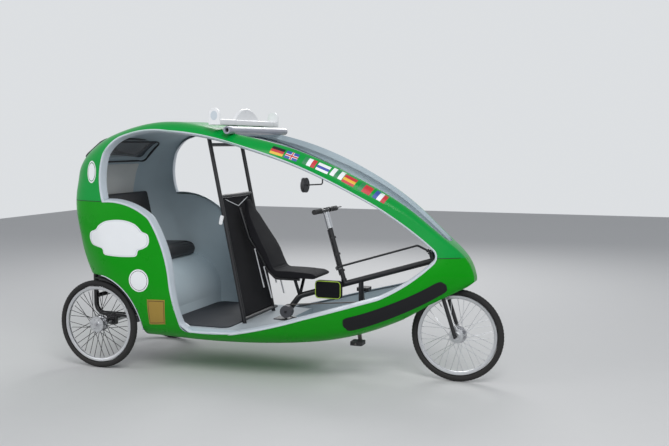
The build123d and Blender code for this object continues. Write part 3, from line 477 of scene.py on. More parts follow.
def paint(key):
    """The named finish, made once; the coloured ones take theirs from the settings."""
    if key not in _made:
        settings = bpy.context.scene.rickshaw_shell
        chosen = {"green": settings.body_colour, "canopy": settings.canopy_colour, "mesh": settings.seat_colour}
        name, colour, *columns, more = FINISHES[key]
        _made[key] = finish(name, colour or tuple(chosen[key]), *columns, **more)
    return _made[key]


def coat_node(node, key):
    """Gives a CAD node one finish."""
    mesh = NODES[node].data
    mesh.materials.clear()
    mesh.materials.append(paint(key))


# Shell

DOOR_START = (66, 1153)
# Runs of the door's edge. Columns: a point that the arc passes (None: a straight run), and its end
DOOR_RUNS = [
    ((40, 1341), (67, 1473)), ((117, 1538), (186, 1586)),
    ((370, 1630), (559, 1626)), ((850, 1588), (1072, 1527)),
    ((1480, 1375), (1920, 1149)), ((2100, 1022), (2272, 880)),
    ((2300, 835), (2280, 786)), ((2147, 672), (1962, 566)),
    (None, (1493, 431)), ((1253, 361), (1010, 306)),
    (None, (712, 296)), (None, (641, 350)),
    (None, (594, 611)), ((503, 930), (432, 1051)),
    ((290, 1128), (66, 1153)),
]
RUN_STEPS = 16


def door_outline(count=260):
    """The door opening's edge as evenly spaced points, rear lower corner of the arch first."""
    runs, start = [], DOOR_START
    for middle, end in DOOR_RUNS:
        if middle is None:
            share = np.arange(RUN_STEPS)[:, None] / RUN_STEPS
            runs.append(np.array(start) + share * np.subtract(end, start))
        else:
            runs.append(by_three((start, middle, end)))
        start = end
    path = np.concatenate([*runs, [DOOR_START]])
    length = np.concatenate([[0], np.cumsum(np.linalg.norm(np.diff(path, axis=0), axis=1))])
    even = np.linspace(0, length[-1], count + 1)[:-1]
    return np.stack([np.interp(even, length, path[:, k]) for k in (0, 1)], -1)


def paint_shell():
    """Outside faces green, inside and edges grey: outside is where the normal leans away from a middle line."""
    for node, outer in (("lower_hull", "green"), ("canopy", "canopy")):
        mesh = NODES[node].data
        count = len(mesh.polygons)
        centre, normal = np.empty(count * 3), np.empty(count * 3)
        mesh.polygons.foreach_get("center", centre)
        mesh.polygons.foreach_get("normal", normal)
        centre, normal = centre.reshape(-1, 3) * 1000.0, normal.reshape(-1, 3)
        centre[:, 0] -= AXLE_X
        station = np.clip(centre[:, 0], 100, 2250)
        spine = np.stack([station, 0 * station, np.interp(station, (100, 1200, 2250), (950, 900, 760))], -1)
        index = np.where((normal * unit(centre - spine)).sum(1) > 0.3, 0, 1)
        if node == "lower_hull":
            to_axle = np.hypot(centre[:, 0], centre[:, 2] - WHEEL_RADIUS)
            well_top = WHEEL_RADIUS + WELL_RADIUS
            flat = (centre[:, 0] < 5) & (np.abs(centre[:, 2] - well_top) < 3)
            well = (np.abs(to_axle - WELL_RADIUS) < 6) | flat
            nose = (centre[:, 0] > 2030) & (centre[:, 2] < well_top) & (index == 1)
            # Wheel wells and the inside of the nose take the near-black painted shade
            index[well | nose] = 2
            index[(normal[:, 2] > 0.9) & (centre[:, 2] < 345) & (index == 1)] = 3
            index[(np.abs(normal[:, 1]) > 0.98) & (np.abs(np.abs(centre[:, 1]) - 470) < 2)] = 1
        mesh.materials.clear()
        for key in (outer, "liner", "shade", "floor"):
            mesh.materials.append(paint(key))
        mesh.polygons.foreach_set("material_index", index.astype(np.int32))
        mesh.update()
    for node, key in (("rear_window", "glass"), ("notice_panel", "pale")):
        coat_node(node, key)


# Section of the door's lip. Columns: share of the depth inward, and offset out of the opening
DOOR_LIP = [
    (-0.035, 7.0), (-0.07, 4.0), (-0.06, -1.0), (0.0, -5.0), (0.25, -8.0), (0.6, -12.0), (0.93, -17.0),
    (1.0, -16.0), (1.0, -13.0), (0.55, -6.0), (0.2, 0.5), (0.06, 2.0), (0.03, 7.0),
]
# Section of the wheel arch's lip. Columns: millimetres inward from the skin, and outward from the arch
ARCH_LIP = [(-1.5, 5.0), (-3.0, 2.5), (-2.0, -1.5), (1.0, -3.5), (46.0, -4.0), (46.5, -1.5), (4.0, -0.5)]
# How far outside an edge the skin is measured
LIP_REACH = 5.0


def evened(values, before, after):
    """Running mean of the values, which are lengthened at both ends first."""
    width = len(before) + len(after) + 1
    return np.convolve(np.concatenate([before, values, after]), np.ones(width) / width, "valid")


def lip(side, edge, out, y, section, closed):
    """Section of (i, e) carried along an edge: (edge + e out, y - i)."""
    points = [
        np.stack([edge[:, 0] + e * out[:, 0], side * (y - i), edge[:, 1] + e * out[:, 1]], -1) for i, e in section
    ]
    return surface(np.stack(points, 1), closed, True)


def door_trim(side):
    """Soft lip round a door: its section is carried along the edge, proud of the skin and deep inside it."""
    edge = door_outline()
    run = unit(np.roll(edge, -1, 0) - np.roll(edge, 1, 0))
    out = np.stack([-run[:, 1], run[:, 0]], -1)
    middle = edge.mean(0)
    if ((edge - middle) * out).sum() < 0:
        out = -out
    y = np.abs(side_skin(edge + LIP_REACH * out, side, 0.0)[:, 1])
    y = evened(y, y[-4:], y[:4])
    low = (edge[:, 1] < 640) & (edge[:, 0] > 560)
    depth = np.where(low, 44.0, 56.0)
    depth = evened(depth, depth[-6:], depth[:6])
    return lip(side, edge, out, y, [(share * depth, e) for share, e in DOOR_LIP], True)


def arch_trim(side):
    """Pale lip of the rear wheel arch: a thin section carried along the arch, from the skin inward."""
    angle = np.radians(np.linspace(-4, 84, 60))
    out = np.stack([np.cos(angle), np.sin(angle)], -1)
    edge = np.array((0, WHEEL_RADIUS)) + WELL_RADIUS * out
    y = np.abs(side_skin(edge + LIP_REACH * out, side, 0.0)[:, 1])
    return lip(side, edge, out, evened(y, y[:4], y[-4:]), ARCH_LIP, False)


def seams(side):
    """Narrow dark joint between tub and canopy, behind the door and across the nose."""
    out = []
    for x0, x1, z in ((-236, 52, TAIL_SEAM), (2292, 2440, NOSE_SEAM)):
        x = np.linspace(x0, x1, 40)
        grid = np.stack([np.stack([x, np.full(40, z + dz)], -1) for dz in (-2.2, 2.2)])
        out.append(surface(side_skin(grid, side, 0.5)))
    return out


# Labels

CLOUD = [
    (-78, 850), (-88, 885), (-74, 930), (-20, 952), (8, 985), (60, 1016), (124, 1030), (190, 1034), (250, 1028),
    (312, 1008), (352, 976), (376, 950), (420, 930), (432, 885), (420, 845), (382, 820), (345, 806),
    (332, 768), (300, 756), (190, 752), (78, 758), (52, 772), (40, 806), (-10, 818), (-56, 830),
]
CLOUD_TOP, CLOUD_SCALE, CLOUD_SHIFT = (180.0, 1034.0), (0.96, 0.88), (16.0, 0.0)
PLAQUE = [(410, 340), (418, 498), (430, 508), (545, 512), (556, 502), (538, 352), (526, 342), (420, 332)]
STRIP = [(1752, 393), (1900, 436), (2060, 498), (2210, 568), (2362, 655)]
# Rail flags. Columns: station, z, turn in degrees, layout, colours from the rear or from the top
FLAGS = [
    (1294, 1496, -18, "bars_across", ("ink", "red", "yellow")),
    (1385, 1465, -19, "cross", ("blue", "white", "red")),
    (1500, 1425, -21, "bars", ("leaf", "white", "red")),
    (1588, 1388, -23, "bars_across", ("white", "blue", "white")),
    (1680, 1352, -25, "bars", ("white", "leaf", "white")),
    (1757, 1310, -27, "bars_across", ("red", "yellow", "red")),
    (1857, 1258, -29, "bars", ("leaf", "red", "red")),
    (1948, 1207, -31, "bars", ("blue", "white", "red")),
]
LABELS = ["white", "ink", "gold", "red", "yellow", "blue", "leaf", "lip"]
FLAG_LENGTH = 84.0
FLAG_HEIGHT = 46.0
# Heights over the skin of a label, of the line on it and of what lies inside the line
LIFTS = (0.9, 1.3, 1.7)


def turned_box(centre, length, height, angle, offset=(0.0, 0.0), radius=2.0):
    """Rounded rectangle turned by an angle about a centre, after its own offset."""
    points = rounded(length, height, radius, 4) + np.asarray(offset, dtype=float)
    share = np.arange(8)[None, :, None] / 8
    points = (points[:, None] * (1 - share) + np.roll(points, -1, 0)[:, None] * share).reshape(-1, 2)
    c, s = cos(radians(angle)), sin(radians(angle))
    return np.asarray(centre) + points @ np.array([[c, s], [-s, c]])


def label_patches(side):
    """All the blank labels and flags of one side, as patches with their colours."""
    out = []

    def lay(key, centre, outline, lift=LIFTS[0], rings=9):
        out.append(with_material(sticker(centre, outline, side, lift, rings), LABELS.index(key)))

    def bordered(key, line, centre, outline, outer, inner):
        lay(key, centre, outline)
        lay(line, centre, np.array(centre) + outer * (outline - centre), LIFTS[1])
        lay(key, centre, np.array(centre) + inner * (outline - centre), LIFTS[2])

    cloud = CLOUD_TOP + (flowing([*CLOUD, CLOUD[0]], 97)[:-1] - CLOUD_TOP) * CLOUD_SCALE + CLOUD_SHIFT
    bordered("white", "lip", (194.0, 908.0), cloud, 0.955, 0.935)
    bordered("white", "ink", (358, 632), arc((358, 632), 76, 0, 354, 60), 67 / 76, 64 / 76)
    bordered("gold", "ink", (482, 424), flowing([*PLAQUE, PLAQUE[0]], 65)[:-1], 0.9, 0.86)
    bordered("white", "leaf", (-42, 1352), ring(44, 48, 76) + (-42, 1352), 0.86, 0.78)
    # Blank number strip: a band carried along the sill's curve, with round ends
    line = flowing(STRIP, 60)
    run = unit(np.gradient(line, axis=0))
    across = np.stack([-run[:, 1], run[:, 0]], -1)
    travel = np.linspace(0, 1, 60)
    round_end = np.sqrt(np.clip(1 - (np.abs(travel - 0.5) * 2) ** 26, 0.02, 1))
    half = np.interp(travel, (0, 1), (47, 41)) * round_end
    grid = line[None] + np.linspace(-1, 1, 9)[:, None, None] * (half[:, None] * across)[None]
    out.append(with_material(surface(side_skin(grid, side, LIFTS[0])), LABELS.index("ink")))
    for station, z, angle, layout, colours in FLAGS:
        spot = np.array((station, z), dtype=float)
        if layout == "cross":
            lay(colours[0], spot, turned_box(spot, FLAG_LENGTH, FLAG_HEIGHT, angle), rings=5)
            for key, wide, lift in ((colours[1], 15, LIFTS[1]), (colours[2], 8, LIFTS[2])):
                for length, height in ((FLAG_LENGTH, wide), (wide, FLAG_HEIGHT)):
                    lay(key, spot, turned_box(spot, length, height, angle, radius=0.5), lift, 5)
            continue
        for k, key in enumerate(colours):
            if layout == "bars":
                length, height, offset = FLAG_LENGTH / 3, FLAG_HEIGHT, ((k - 1) * FLAG_LENGTH / 3, 0)
            else:
                length, height, offset = FLAG_LENGTH, FLAG_HEIGHT / 3, (0, (1 - k) * FLAG_HEIGHT / 3)
            patch = turned_box(spot, length, height, angle, offset, 0.5)
            lay(key, patch.mean(0), patch, rings=5)
    return out


# Wheels

GROOVES = 84
SPOKES = 36
HUB_TEETH = 28
HUB_BOLTS = 6
VALVE_ANGLE = 2.1
# Half of the rim's section. Columns: inward from its edge, y
RIM_HALF = [(9, 4), (7, 10), (2, 11), (0, 12), (1, 13), (12, 12.5), (19, 10), (22, 5)]
# Hub sections. Columns: radius in mm, radius as a share of the hub's, y as a share of its half-width
FRONT_HUB = [
    (9, 0, -1), (24, 0, -1), (30, 0, -0.86), (0, 0.78, -0.8), (0, 0.8, -0.68), (0, 0.5, -0.5), (0, 0.42, 0),
    (0, 0.5, 0.5), (0, 0.8, 0.68), (0, 0.8, 0.8), (30, 0, 0.86), (24, 0, 1), (9, 0, 1),
]
REAR_HUB = [
    (12, 0, -1), (0, 0.42, -1), (0, 0.46, -0.9), (0, 0.82, -0.86), (0, 0.86, -0.6), (0, 0.72, -0.5), (0, 0.66, 0),
    (0, 0.72, 0.5), (0, 0.86, 0.6), (0, 0.82, 0.86), (0, 0.46, 0.9), (0, 0.42, 1), (12, 0, 1),
]
FRONT_DISC = [(0, 0.55, 0.55), (0, 1, 0.55), (0, 1, 0.62), (0, 0.55, 0.62)]
REAR_GEAR = [(0, 0.6, 0.88), (0, 1, 0.88), (0, 1, 0.66), (0, 0.6, 0.66)]
REAR_BORE = [(13, 0, -0.995), (0, 0.3, -0.995), (0, 0.3, 0.995), (13, 0, 0.995)]


def tyre_section(outer, width, steps=26):
    """Closed tyre section: round outside, open bead inside: (R - w/2 + w/2 cos a, w/2 sin a)."""
    angle = np.linspace(-2.35, 2.35, steps)
    half = width / 2
    shell = np.stack([outer - half + half * np.cos(angle), half * np.sin(angle) * 0.98], -1)
    inner = shell[::-1] * [1, 0.86]
    inner[:, 0] = np.minimum(inner[:, 0] - 2.5, outer - half + 8)
    return np.concatenate([shell, inner[3:-3]])


def tread(angle, section, outer):
    """Tread depth: grooves where the wave of the wheel angle, slanted by y, is low, near the crown only."""
    crown = np.clip((section[..., 0] - (outer - 9)) / 5, 0, 1)
    wave = np.sin(GROOVES * angle + 0.32 * np.abs(section[..., 1]))
    middle = np.abs(section[..., 1]) < 2.2
    return -1.6 * crown * np.clip(wave * 3, 0, 1) * ~middle - 1.4 * crown * middle


def wheel(name, body, centre, front):
    """Tyre, rim, crossed spokes and hub turned about the axle."""
    tyre_low, tyre_high = box_mm(f"{name}_tyre")
    outer = (tyre_high[2] - tyre_low[2]) / 2
    rim_low, rim_high = box_mm(f"{name}_rim")
    hub_low, hub_high = box_mm(f"{name}_hub")
    q, h = (hub_high[2] - hub_low[2]) / 2, (hub_high[1] - hub_low[1]) / 2
    build(f"{name}_tyre_treaded", body,
          [turned(tyre_section(outer, tyre_high[1] - tyre_low[1]), centre, 4 * GROOVES, True,
                  lambda a, s: tread(a, s, outer))],
          [paint("rubber")], replaces=[f"{name}_tyre"])

    r = min((rim_high[2] - rim_low[2]) / 2, outer - 26)
    half = np.array(RIM_HALF)
    rim_outline = np.concatenate([half, [(23, 0)], half[::-1] * [1, -1]]) * [-1, 1] + [r, 0]
    count = np.arange(SPOKES)
    turn = count * 2 * pi / SPOKES
    side = np.where(count % 2, 1.0, -1.0)
    lean = np.where((count // 2) % 2, 1.0, -1.0) * radians(46 if front else 38)

    def spoke_points(radius, y, angle=turn):
        return np.stack([radius * np.cos(angle), side * y, radius * np.sin(angle)], -1) + centre

    inner = spoke_points(q * (0.72 if front else 0.8), h * 0.72, turn + lean)
    rim_end = spoke_points(r - 22, 2.5)
    nipple = spoke_points(r - 36, 3.5)
    nipple += (rim_end - nipple) * 0.2
    outward = np.array([[cos(VALVE_ANGLE), 0, sin(VALVE_ANGLE)]])
    build(f"{name}_rim_spoked", body, [
        turned(rim_outline, centre, 160, True),
        with_material(rods(inner, rim_end, 1.7 if front else 2.1, 7), 1),
        with_material(rods(nipple, rim_end, 2.2, 7), 2),
        with_material(rods((r - 22) * outward + centre, (r - 52) * outward + centre, 2.6, 10), 3),
    ], [paint(key) for key in ("silver", "silver" if front else "black", "silver", "plastic")],
        replaces=[f"{name}_rim"])

    def hub_part(rows, segments, ripple=None, sign=1):
        rows = np.array(rows, dtype=float)
        outline = np.stack([rows[:, 0] + q * rows[:, 1], sign * h * rows[:, 2]], -1)
        return turned(outline, centre, segments, True, ripple)

    if front:
        hub = [hub_part(FRONT_HUB, 72)]
        notches = hub_part(FRONT_DISC, 96, lambda a, s: -1.2 * (np.sin(24 * a) > 0.6))
        hub.append(with_material(notches, 1))
    else:
        hub = [hub_part(REAR_HUB, 96)]
        bolt = np.arange(HUB_BOLTS) * 2 * pi / HUB_BOLTS
        bolts = np.stack([q * 0.62 * np.cos(bolt), 0 * bolt, q * 0.62 * np.sin(bolt)], -1) + centre
        for sign in (-1, 1):
            hub.append(hub_part(REAR_GEAR, 8 * HUB_TEETH, lambda a, s: -5.5 * (s[..., 0] > q * 0.9)
                                * (np.sin(HUB_TEETH * a) > 0.1), sign))
            face = np.array([0, sign * h, 0])
            hub.append(with_material(rods(bolts + 0.9 * face, bolts + 0.97 * face, 4, 6), 1))
        hub.append(with_material(hub_part(REAR_BORE, 48), 2))
    build(f"{name}_hub_turned", body, hub, [paint("cast"), paint("steel"), paint("plastic")],
          replaces=[f"{name}_hub"])


# Soft goods

CLOTH = {
    "quality": 6, "mass": 0.2, "tension_stiffness": 14, "compression_stiffness": 14, "shear_stiffness": 6,
    "bending_stiffness": 1.2, "vertex_group_mass": "held",
}
WELD_REACH = 0.0002


def mesh_points(mesh):
    """Corner places of a mesh as an array."""
    points = np.empty(len(mesh.vertices) * 3)
    mesh.vertices.foreach_get("co", points)
    return points.reshape(-1, 3)


def settle(obj, pins, pressure, frames, cap, gravity=0.0):
    """Cloth run on a mesh with pinned points; no point moves further than the cap, in metres."""
    rest = mesh_points(obj.data)
    group = obj.vertex_groups.new(name="held")
    group.add(np.flatnonzero(pins).tolist(), 1.0, "REPLACE")
    cloth = obj.modifiers.new("cloth", "CLOTH")
    settings = cloth.settings
    for key, value in CLOTH.items():
        setattr(settings, key, value)
    settings.use_pressure = pressure != 0
    settings.uniform_pressure_force = pressure
    settings.effector_weights.gravity = gravity
    cloth.collision_settings.use_collision = False
    cloth.point_cache.frame_start = 1
    cloth.point_cache.frame_end = frames
    scene = bpy.context.scene
    for step in range(1, frames + 1):
        scene.frame_set(step)
    ready = obj.evaluated_get(bpy.context.evaluated_depsgraph_get())
    moved = mesh_points(ready.data)
    obj.modifiers.remove(cloth)
    obj.vertex_groups.remove(group)
    scene.frame_set(1)
    shift = moved - rest
    length = np.maximum(np.linalg.norm(shift, axis=1), 1e-9)
    shift *= np.minimum(1.0, cap / length)[:, None]
    obj.data.vertices.foreach_set("co", (rest + shift).ravel())
    obj.data.update()


def upholster(name, node, key, voxel, seams_at, cap):
    """Stuffed piece from a CAD solid: an even skin over it, blown up between its pinned seams."""
    soft = bpy.context.scene.rickshaw_soft
    obj = bpy.data.objects.new(name, NODES[node].data.copy())
    bpy.context.scene.collection.objects.link(obj)
    weld = obj.modifiers.new("weld", "WELD")
    weld.merge_threshold = WELD_REACH
    skin = obj.modifiers.new("skin", "REMESH")
    skin.mode = "VOXEL"
    skin.voxel_size = voxel / 1000.0
    ready = obj.evaluated_get(bpy.context.evaluated_depsgraph_get())
    even = bpy.data.meshes.new_from_object(ready)
    obj.modifiers.clear()
    obj.data = even
    even.name = name
    even.materials.clear()
    even.materials.append(paint(key))
    points = mesh_points(even) * 1000.0
    points[:, 0] -= AXLE_X
    settle(obj, seams_at(points), soft.pressure, soft.frames, cap / 1000.0)
    ease = obj.modifiers.new("ease", "SMOOTH")
    ease.factor = 0.5
    ease.iterations = 2
    fine = obj.modifiers.new("fine", "SUBSURF")
    fine.levels = 1
    fine.render_levels = 1
    even.polygons.foreach_set("use_smooth", [True] * len(even.polygons))
    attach(obj, "body")
    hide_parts(node)


# Places of the fittings, in millimetres: station, y, z, or station and z

WINDOW_CENTRE = (-112, 0, 1520.0)
WINDOW_SLOPE = 46.0
SIGN_STATION, SIGN_BASE, SIGN_BRACKET = 900, 1664.0, 210
COLUMN_FOOT, COLUMN_HEAD = (1622.0, 0, 633), (1490.0, 0, 1096)
STRUTS = (((1012, 820), (1078, 560)), ((1080, 700), (1136, 490)))
STRUT_OFFSET = 106.0
MIRROR_CENTRE, MIRROR_TURN = (1463.0, -300, 1279), 8.5
LATCH_PLACE = (836, -256, 1030)
CAMERA_PLACE = (2.3875, -5.554, 1.552)
# Columns: name, place in metres, power, aimed at
LIGHTS = (
    ("key", (3.2, -4.6, 5.2), 250, (0, 0, 0.7)),
    ("fill", (-4.5, -4.0, 3.2), 80, (-0.6, 0, 0.8)),
    ("rim", (-1.0, 5.0, 4.5), 150, (0, 0, 1.0)),
)
LIGHT_SIZE = 4.0
# CAD pieces that only need a coat, and its finish
FRAME_COATS = (
    ("main_frame", "black"), ("fork", "black"), ("column", "black"), ("handlebar", "black"), ("grips", "grip"),
    ("brake_levers", "black"), ("tie_rod", "black"), ("crankset", "oily"), ("pedal_left", "plastic"),
    ("pedal_right", "plastic"), ("gear_hub", "motor"), ("chain", "oily"), ("mirror", "plastic"),
)


# Settings

COLOUR = {"subtype": "COLOR", "size": 3, "min": 0, "max": 1}


class ShellSettings(bpy.types.PropertyGroup):
    """Colours of the shell and the seat."""

    body_colour: FloatVectorProperty(
        name="Tub colour", description="Colour of the lower shell", default=(0.0, 0.29, 0.002), **COLOUR)
    canopy_colour: FloatVectorProperty(
        name="Canopy colour", description="Colour of the roof shell and its rails", default=(0.0, 0.31, 0.045),
        **COLOUR)
    seat_colour: FloatVectorProperty(
        name="Seat colour", description="Colour of the rider's mesh seat", default=(0.006, 0.006, 0.008),
        **COLOUR)


class SoftSettings(bpy.types.PropertyGroup):
    """How the padding is made."""

    voxel: FloatProperty(
        name="Skin spacing", description="Spacing of the bench's skin points, in millimetres", default=6.0,
        min=4.0, max=10.0)
    pressure: FloatProperty(
        name="Filling", description="Pressure that blows the padding up", default=4.0, min=0.0)
    frames: IntProperty(
        name="Steps", description="Steps of the cloth run", default=12, min=2, max=40, subtype="TIME")


class StageSettings(bpy.types.PropertyGroup):
    """Camera and light."""

    lens: FloatProperty(
        name="Focal length", description="Camera focal length in millimetres", default=47.3, min=10.0)
    pitch: FloatProperty(
        name="Downward tilt", description="Angle of the view below the horizon", default=radians(5.23),
        subtype="ANGLE", unit="ROTATION")
    turn: FloatProperty(
        name="Turn", description="Angle of the view round the vertical", default=radians(20.12),
        subtype="ANGLE", unit="ROTATION")
    light: FloatProperty(name="Light level", description="Level of the studio light", default=1.0, min=0.0)


# Operators


class RICKSHAW_OT_shell(bpy.types.Operator):
    """Paint the tub, canopy, rear window and notice panel and add the door lips, seams and wheel arch lips"""

    bl_idname = "rickshaw.shell"
    bl_label = "Shell"

    def execute(self, context):
        paint_shell()
        for side, word in SIDES:
            build(f"door_lip_{word}", "body", [door_trim(side)], [paint("lip")], smooth=50)
            build(f"shell_seam_{word}", "body", seams(side), [paint("ink")])
            build(f"wheel_arch_lip_{word}", "body", [arch_trim(side)], [paint("lip")], smooth=50)
        return {"FINISHED"}


class RICKSHAW_OT_window(bpy.types.Operator):
    """Seals round the rear window, outside and inside"""

    bl_idname = "rickshaw.window"
    bl_label = "Rear window"

    def execute(self, context):
        slope = radians(WINDOW_SLOPE)
        u, v, w = np.array([(0, -1, 0.0), (cos(slope), 0, sin(slope)), (-sin(slope), 0, cos(slope))])
        faces = triangles("canopy")
        outline = rounded(696, 216, 46, 9)
        for word, sign, lift in (("outer", 1.0, 2.0), ("inner", -1.0, 3.0)):
            start = WINDOW_CENTRE + outline[:, :1] * u + outline[:, 1:] * v + sign * 230 * w
            path = on_skin(start, -sign * w, faces, lift)
            build(f"window_seal_{word}", "body", [carried(path, ring(9, 8, 4), across=w, closed=True)],
                  [paint("plastic")])
        return {"FINISHED"}


class RICKSHAW_OT_labels(bpy.types.Operator):
    """Blank labels, number strip and flag stripes laid on both sides"""

    bl_idname = "rickshaw.labels"
    bl_label = "Labels"

    def execute(self, context):
        for side, word in SIDES:
            build(f"labels_{word}", "body", label_patches(side), [paint(key) for key in LABELS], smooth=60)
        return {"FINISHED"}


class RICKSHAW_OT_wheels(bpy.types.Operator):
    """Treaded tyres, rims with crossed spokes, and hubs"""

    bl_idname = "rickshaw.wheels"
    bl_label = "Wheels"

    def execute(self, context):
        for name, body in (("front", "front_wheel"), ("left", "left_wheel"), ("right", "right_wheel")):
            low, high = box_mm(f"{name}_tyre")
            wheel(name, body, (low + high) / 2, name == "front")
        for node, key in (("mudguards", "plastic"), ("rear_axle", "steel"), ("rear_frame", "black"),
                          ("drive_unit", "motor"), ("battery_box", "plastic")):
            coat_node(node, key)
        return {"FINISHED"}


class RICKSHAW_OT_bench(bpy.types.Operator):
    """Passengers' bench: cushion and back blown up between their seams, with piping"""

    bl_idname = "rickshaw.bench"
    bl_label = "Bench"

    def execute(self, context):
        voxel = context.scene.rickshaw_soft.voxel
        low, high = box_mm("bench_cushion")
        rim = high[2] - 26

        def cushion_seams(p):
            edge = np.abs(p[:, 2] - rim) < 4
            return (p[:, 2] < low[2] + 12) | (edge & (p[:, 2] < high[2] - 16)) | (np.abs(p[:, 1]) < 4)

        upholster("bench_cushion_padded", "bench_cushion", "leather", voxel, cushion_seams,
                  cap=8.0)
        back_low, back_high = box_mm("bench_backrest")

        def back_seams(p):
            across = np.abs(p[:, 1])
            ends = (p[:, 2] > back_high[2] - 8) | (p[:, 2] < back_low[2] + 8)
            return (across < 4) | (across > back_high[1] - 7) | ends

        upholster("bench_back_padded", "bench_backrest", "leather", voxel, back_seams,
                  cap=8.0)
        front = np.array([(high[0] - 14, y, rim) for y in np.linspace(low[1] + 14, high[1] - 14, 60)])
        build("bench_piping", "body", [tube(front, 3.5, 10, across=(1, 0, 0))], [paint("thread")])
        return {"FINISHED"}


class RICKSHAW_OT_rider_seat(bpy.types.Operator):
    """Rider's mesh seat and the bright struts behind it"""

    bl_idname = "rickshaw.rider_seat"
    bl_label = "Rider's seat"

    def execute(self, context):
        def seat_seams(p):
            half = np.interp(p[:, 2], (640, 860, 1050, 1165), (130, 130, 85, 30))
            channel = np.minimum(np.abs(p[:, 0] - 1200), np.abs(p[:, 0] - 1330)) < 3.5
            return (np.abs(p[:, 1]) > half - 9) | (channel & (p[:, 2] < 700)) | (p[:, 2] < 643)

        upholster("rider_seat_padded", "driver_seat", "mesh", 5.0, seat_seams, cap=7.0)
        strut = []
        for side in (-1, 1):
            for first, last in STRUTS:
                ends = np.array([(x, side * STRUT_OFFSET, z) for x, z in (first, last)])
                strut.append(tube(ends[0] + (ends[1] - ends[0]) * np.linspace(0, 1, 8)[:, None], 5.5))
                strut.append(tube(np.array([ends[0], ends[0] * [1, 0.8, 1]]), 7.0, across=(1, 0, 0)))
        build("seat_struts", "body", strut, [paint("silver")])
        return {"FINISHED"}


class RICKSHAW_OT_cabin(bpy.types.Operator):
    """Roll frame, partition cloth, floor mat and latch"""

    bl_idname = "rickshaw.cabin"
    bl_label = "Cabin"

    def execute(self, context):
        coat_node("roll_frame", "black")
        coat_node("floor_mat", "mat")
        low, high = box_mm("partition")
        rows, columns = 60, 34
        v = np.linspace(0, 1, rows)[:, None]
        u = np.linspace(-1, 1, columns)[None]
        x = low[0] + 3.5 + (1 - v) * (high[0] - low[0] - 7) + 0 * u
        z = low[2] + v * (high[2] - low[2]) + 0 * u
        y = high[1] * u + 0 * v
        cloth = build("partition_cloth", "body", [surface(np.stack([x, y, z], -1))], [paint("cloth")],
                      replaces=["partition"])
        index = np.arange(rows * columns).reshape(rows, columns)
        pins = np.zeros(rows * columns, dtype=bool)
        pins[index[:, 0]] = pins[index[:, -1]] = pins[index[-1]] = pins[index[0]] = True
        settle(cloth, pins, 0.35, 10, 0.012, gravity=0.3)
        thick = cloth.modifiers.new("thick", "SOLIDIFY")
        thick.thickness = 0.0015
        thick.offset = 0.0
        edge = []
        for side in (-1, 1):
            top = np.array((low[0] + 2, side * 40.0, high[2] - 6))
            corner = np.array((low[0] + 18, 0.0, high[2] - 66))
            edge.append(tube(np.linspace(top + [0, side * 150, 0], corner, 24), 3.0, 8, across=(1, 0, 0)))
        build("partition_stripe", "body", edge, [paint("white")])
        latch = plate(rounded(26, 64, 8), 0, 9, 2, LATCH_PLACE, (0.97, 0, -0.22), (0.22, 0, 0.97), (0, -1, 0))
        build("post_latch", "body", [latch], [paint("sign")])
        return {"FINISHED"}


class RICKSHAW_OT_roof(bpy.types.Operator):
    """Blank roof sign and the rolled rain cover"""

    bl_idname = "rickshaw.roof"
    bl_label = "Roof"

    def execute(self, context):
        low, high = box_mm("roof_sign")
        along, left, up = (1, 0, 0), (0, 1, 0), (0, 0, 1)

        def sign_plate(which, outline, thick, bevel, y, z, axes=(along, up, left), first=0.0):
            origin = (SIGN_STATION, y, SIGN_BASE + z)
            return with_material(plate(outline, first, thick, bevel, origin, *axes), which)

        parts = [sign_plate(0, rounded(78, 40, 8), high[1] - 12, 2, 0, 20, first=low[1] + 12)]
        outline = np.concatenate([arc((0, 69), 41.5, 0, 180, 18), [(-41.5, 2), (41.5, 2)]])
        dome = np.concatenate([arc((0, -138), 258, 42.5, 137.5, 40), [(-188, 36), (188, 36)]])
        for side in (-1, 1):
            parts.append(sign_plate(0, outline, 6.5, 3, side * (high[1] - 7), 0, first=-6.5))
            parts.append(sign_plate(1, ring(24, 28, 30) + [0, 62], 1.2, 0.3, side * (high[1] - 0.6), 0,
                                    (along, up, (0, side, 0))))
            parts.append(sign_plate(2, rounded(70, 22, 4), 14, 2, side * SIGN_BRACKET, -8, first=-14))
        parts.append(sign_plate(0, dome, 12, 4, 0, 0, (left, up, along), -12))
        build("roof_sign_blank", "body", parts, [paint("sign"), paint("lip"), paint("black")],
              replaces=["roof_sign"])
        low, high = box_mm("rain_roll")
        axis = (low + high) / 2
        half, r = (high[1] - low[1]) / 2, (high[2] - low[2]) / 2
        profile = [(r * 0.55, -half + 26), (r * 0.55, -half + 2), (r * 0.72, -half), (r * 0.93, -half),
                   (r, -half + 4), (r, -half + 60), (r * 0.985, -half + 70), (r * 0.985, half - 60),
                   (r, half - 50), (r, half - 12), (r * 0.93, half - 3), (r * 0.7, half), (2, half)]
        roll = turned(profile, axis, 64, False, lambda a, s: 0.35 * np.sin(2 * a + s[..., 1] / 160))
        # Black disc at the bottom of the roll's open end: painted shade of its hollow
        end_shade = turned([(1, -half + 24), (r * 0.56, -half + 24)], axis, 48)
        build("rain_roll_cover", "body", [roll, with_material(end_shade, 1)],
              [paint("cover"), paint("plastic")], replaces=["rain_roll"])
        return {"FINISHED"}


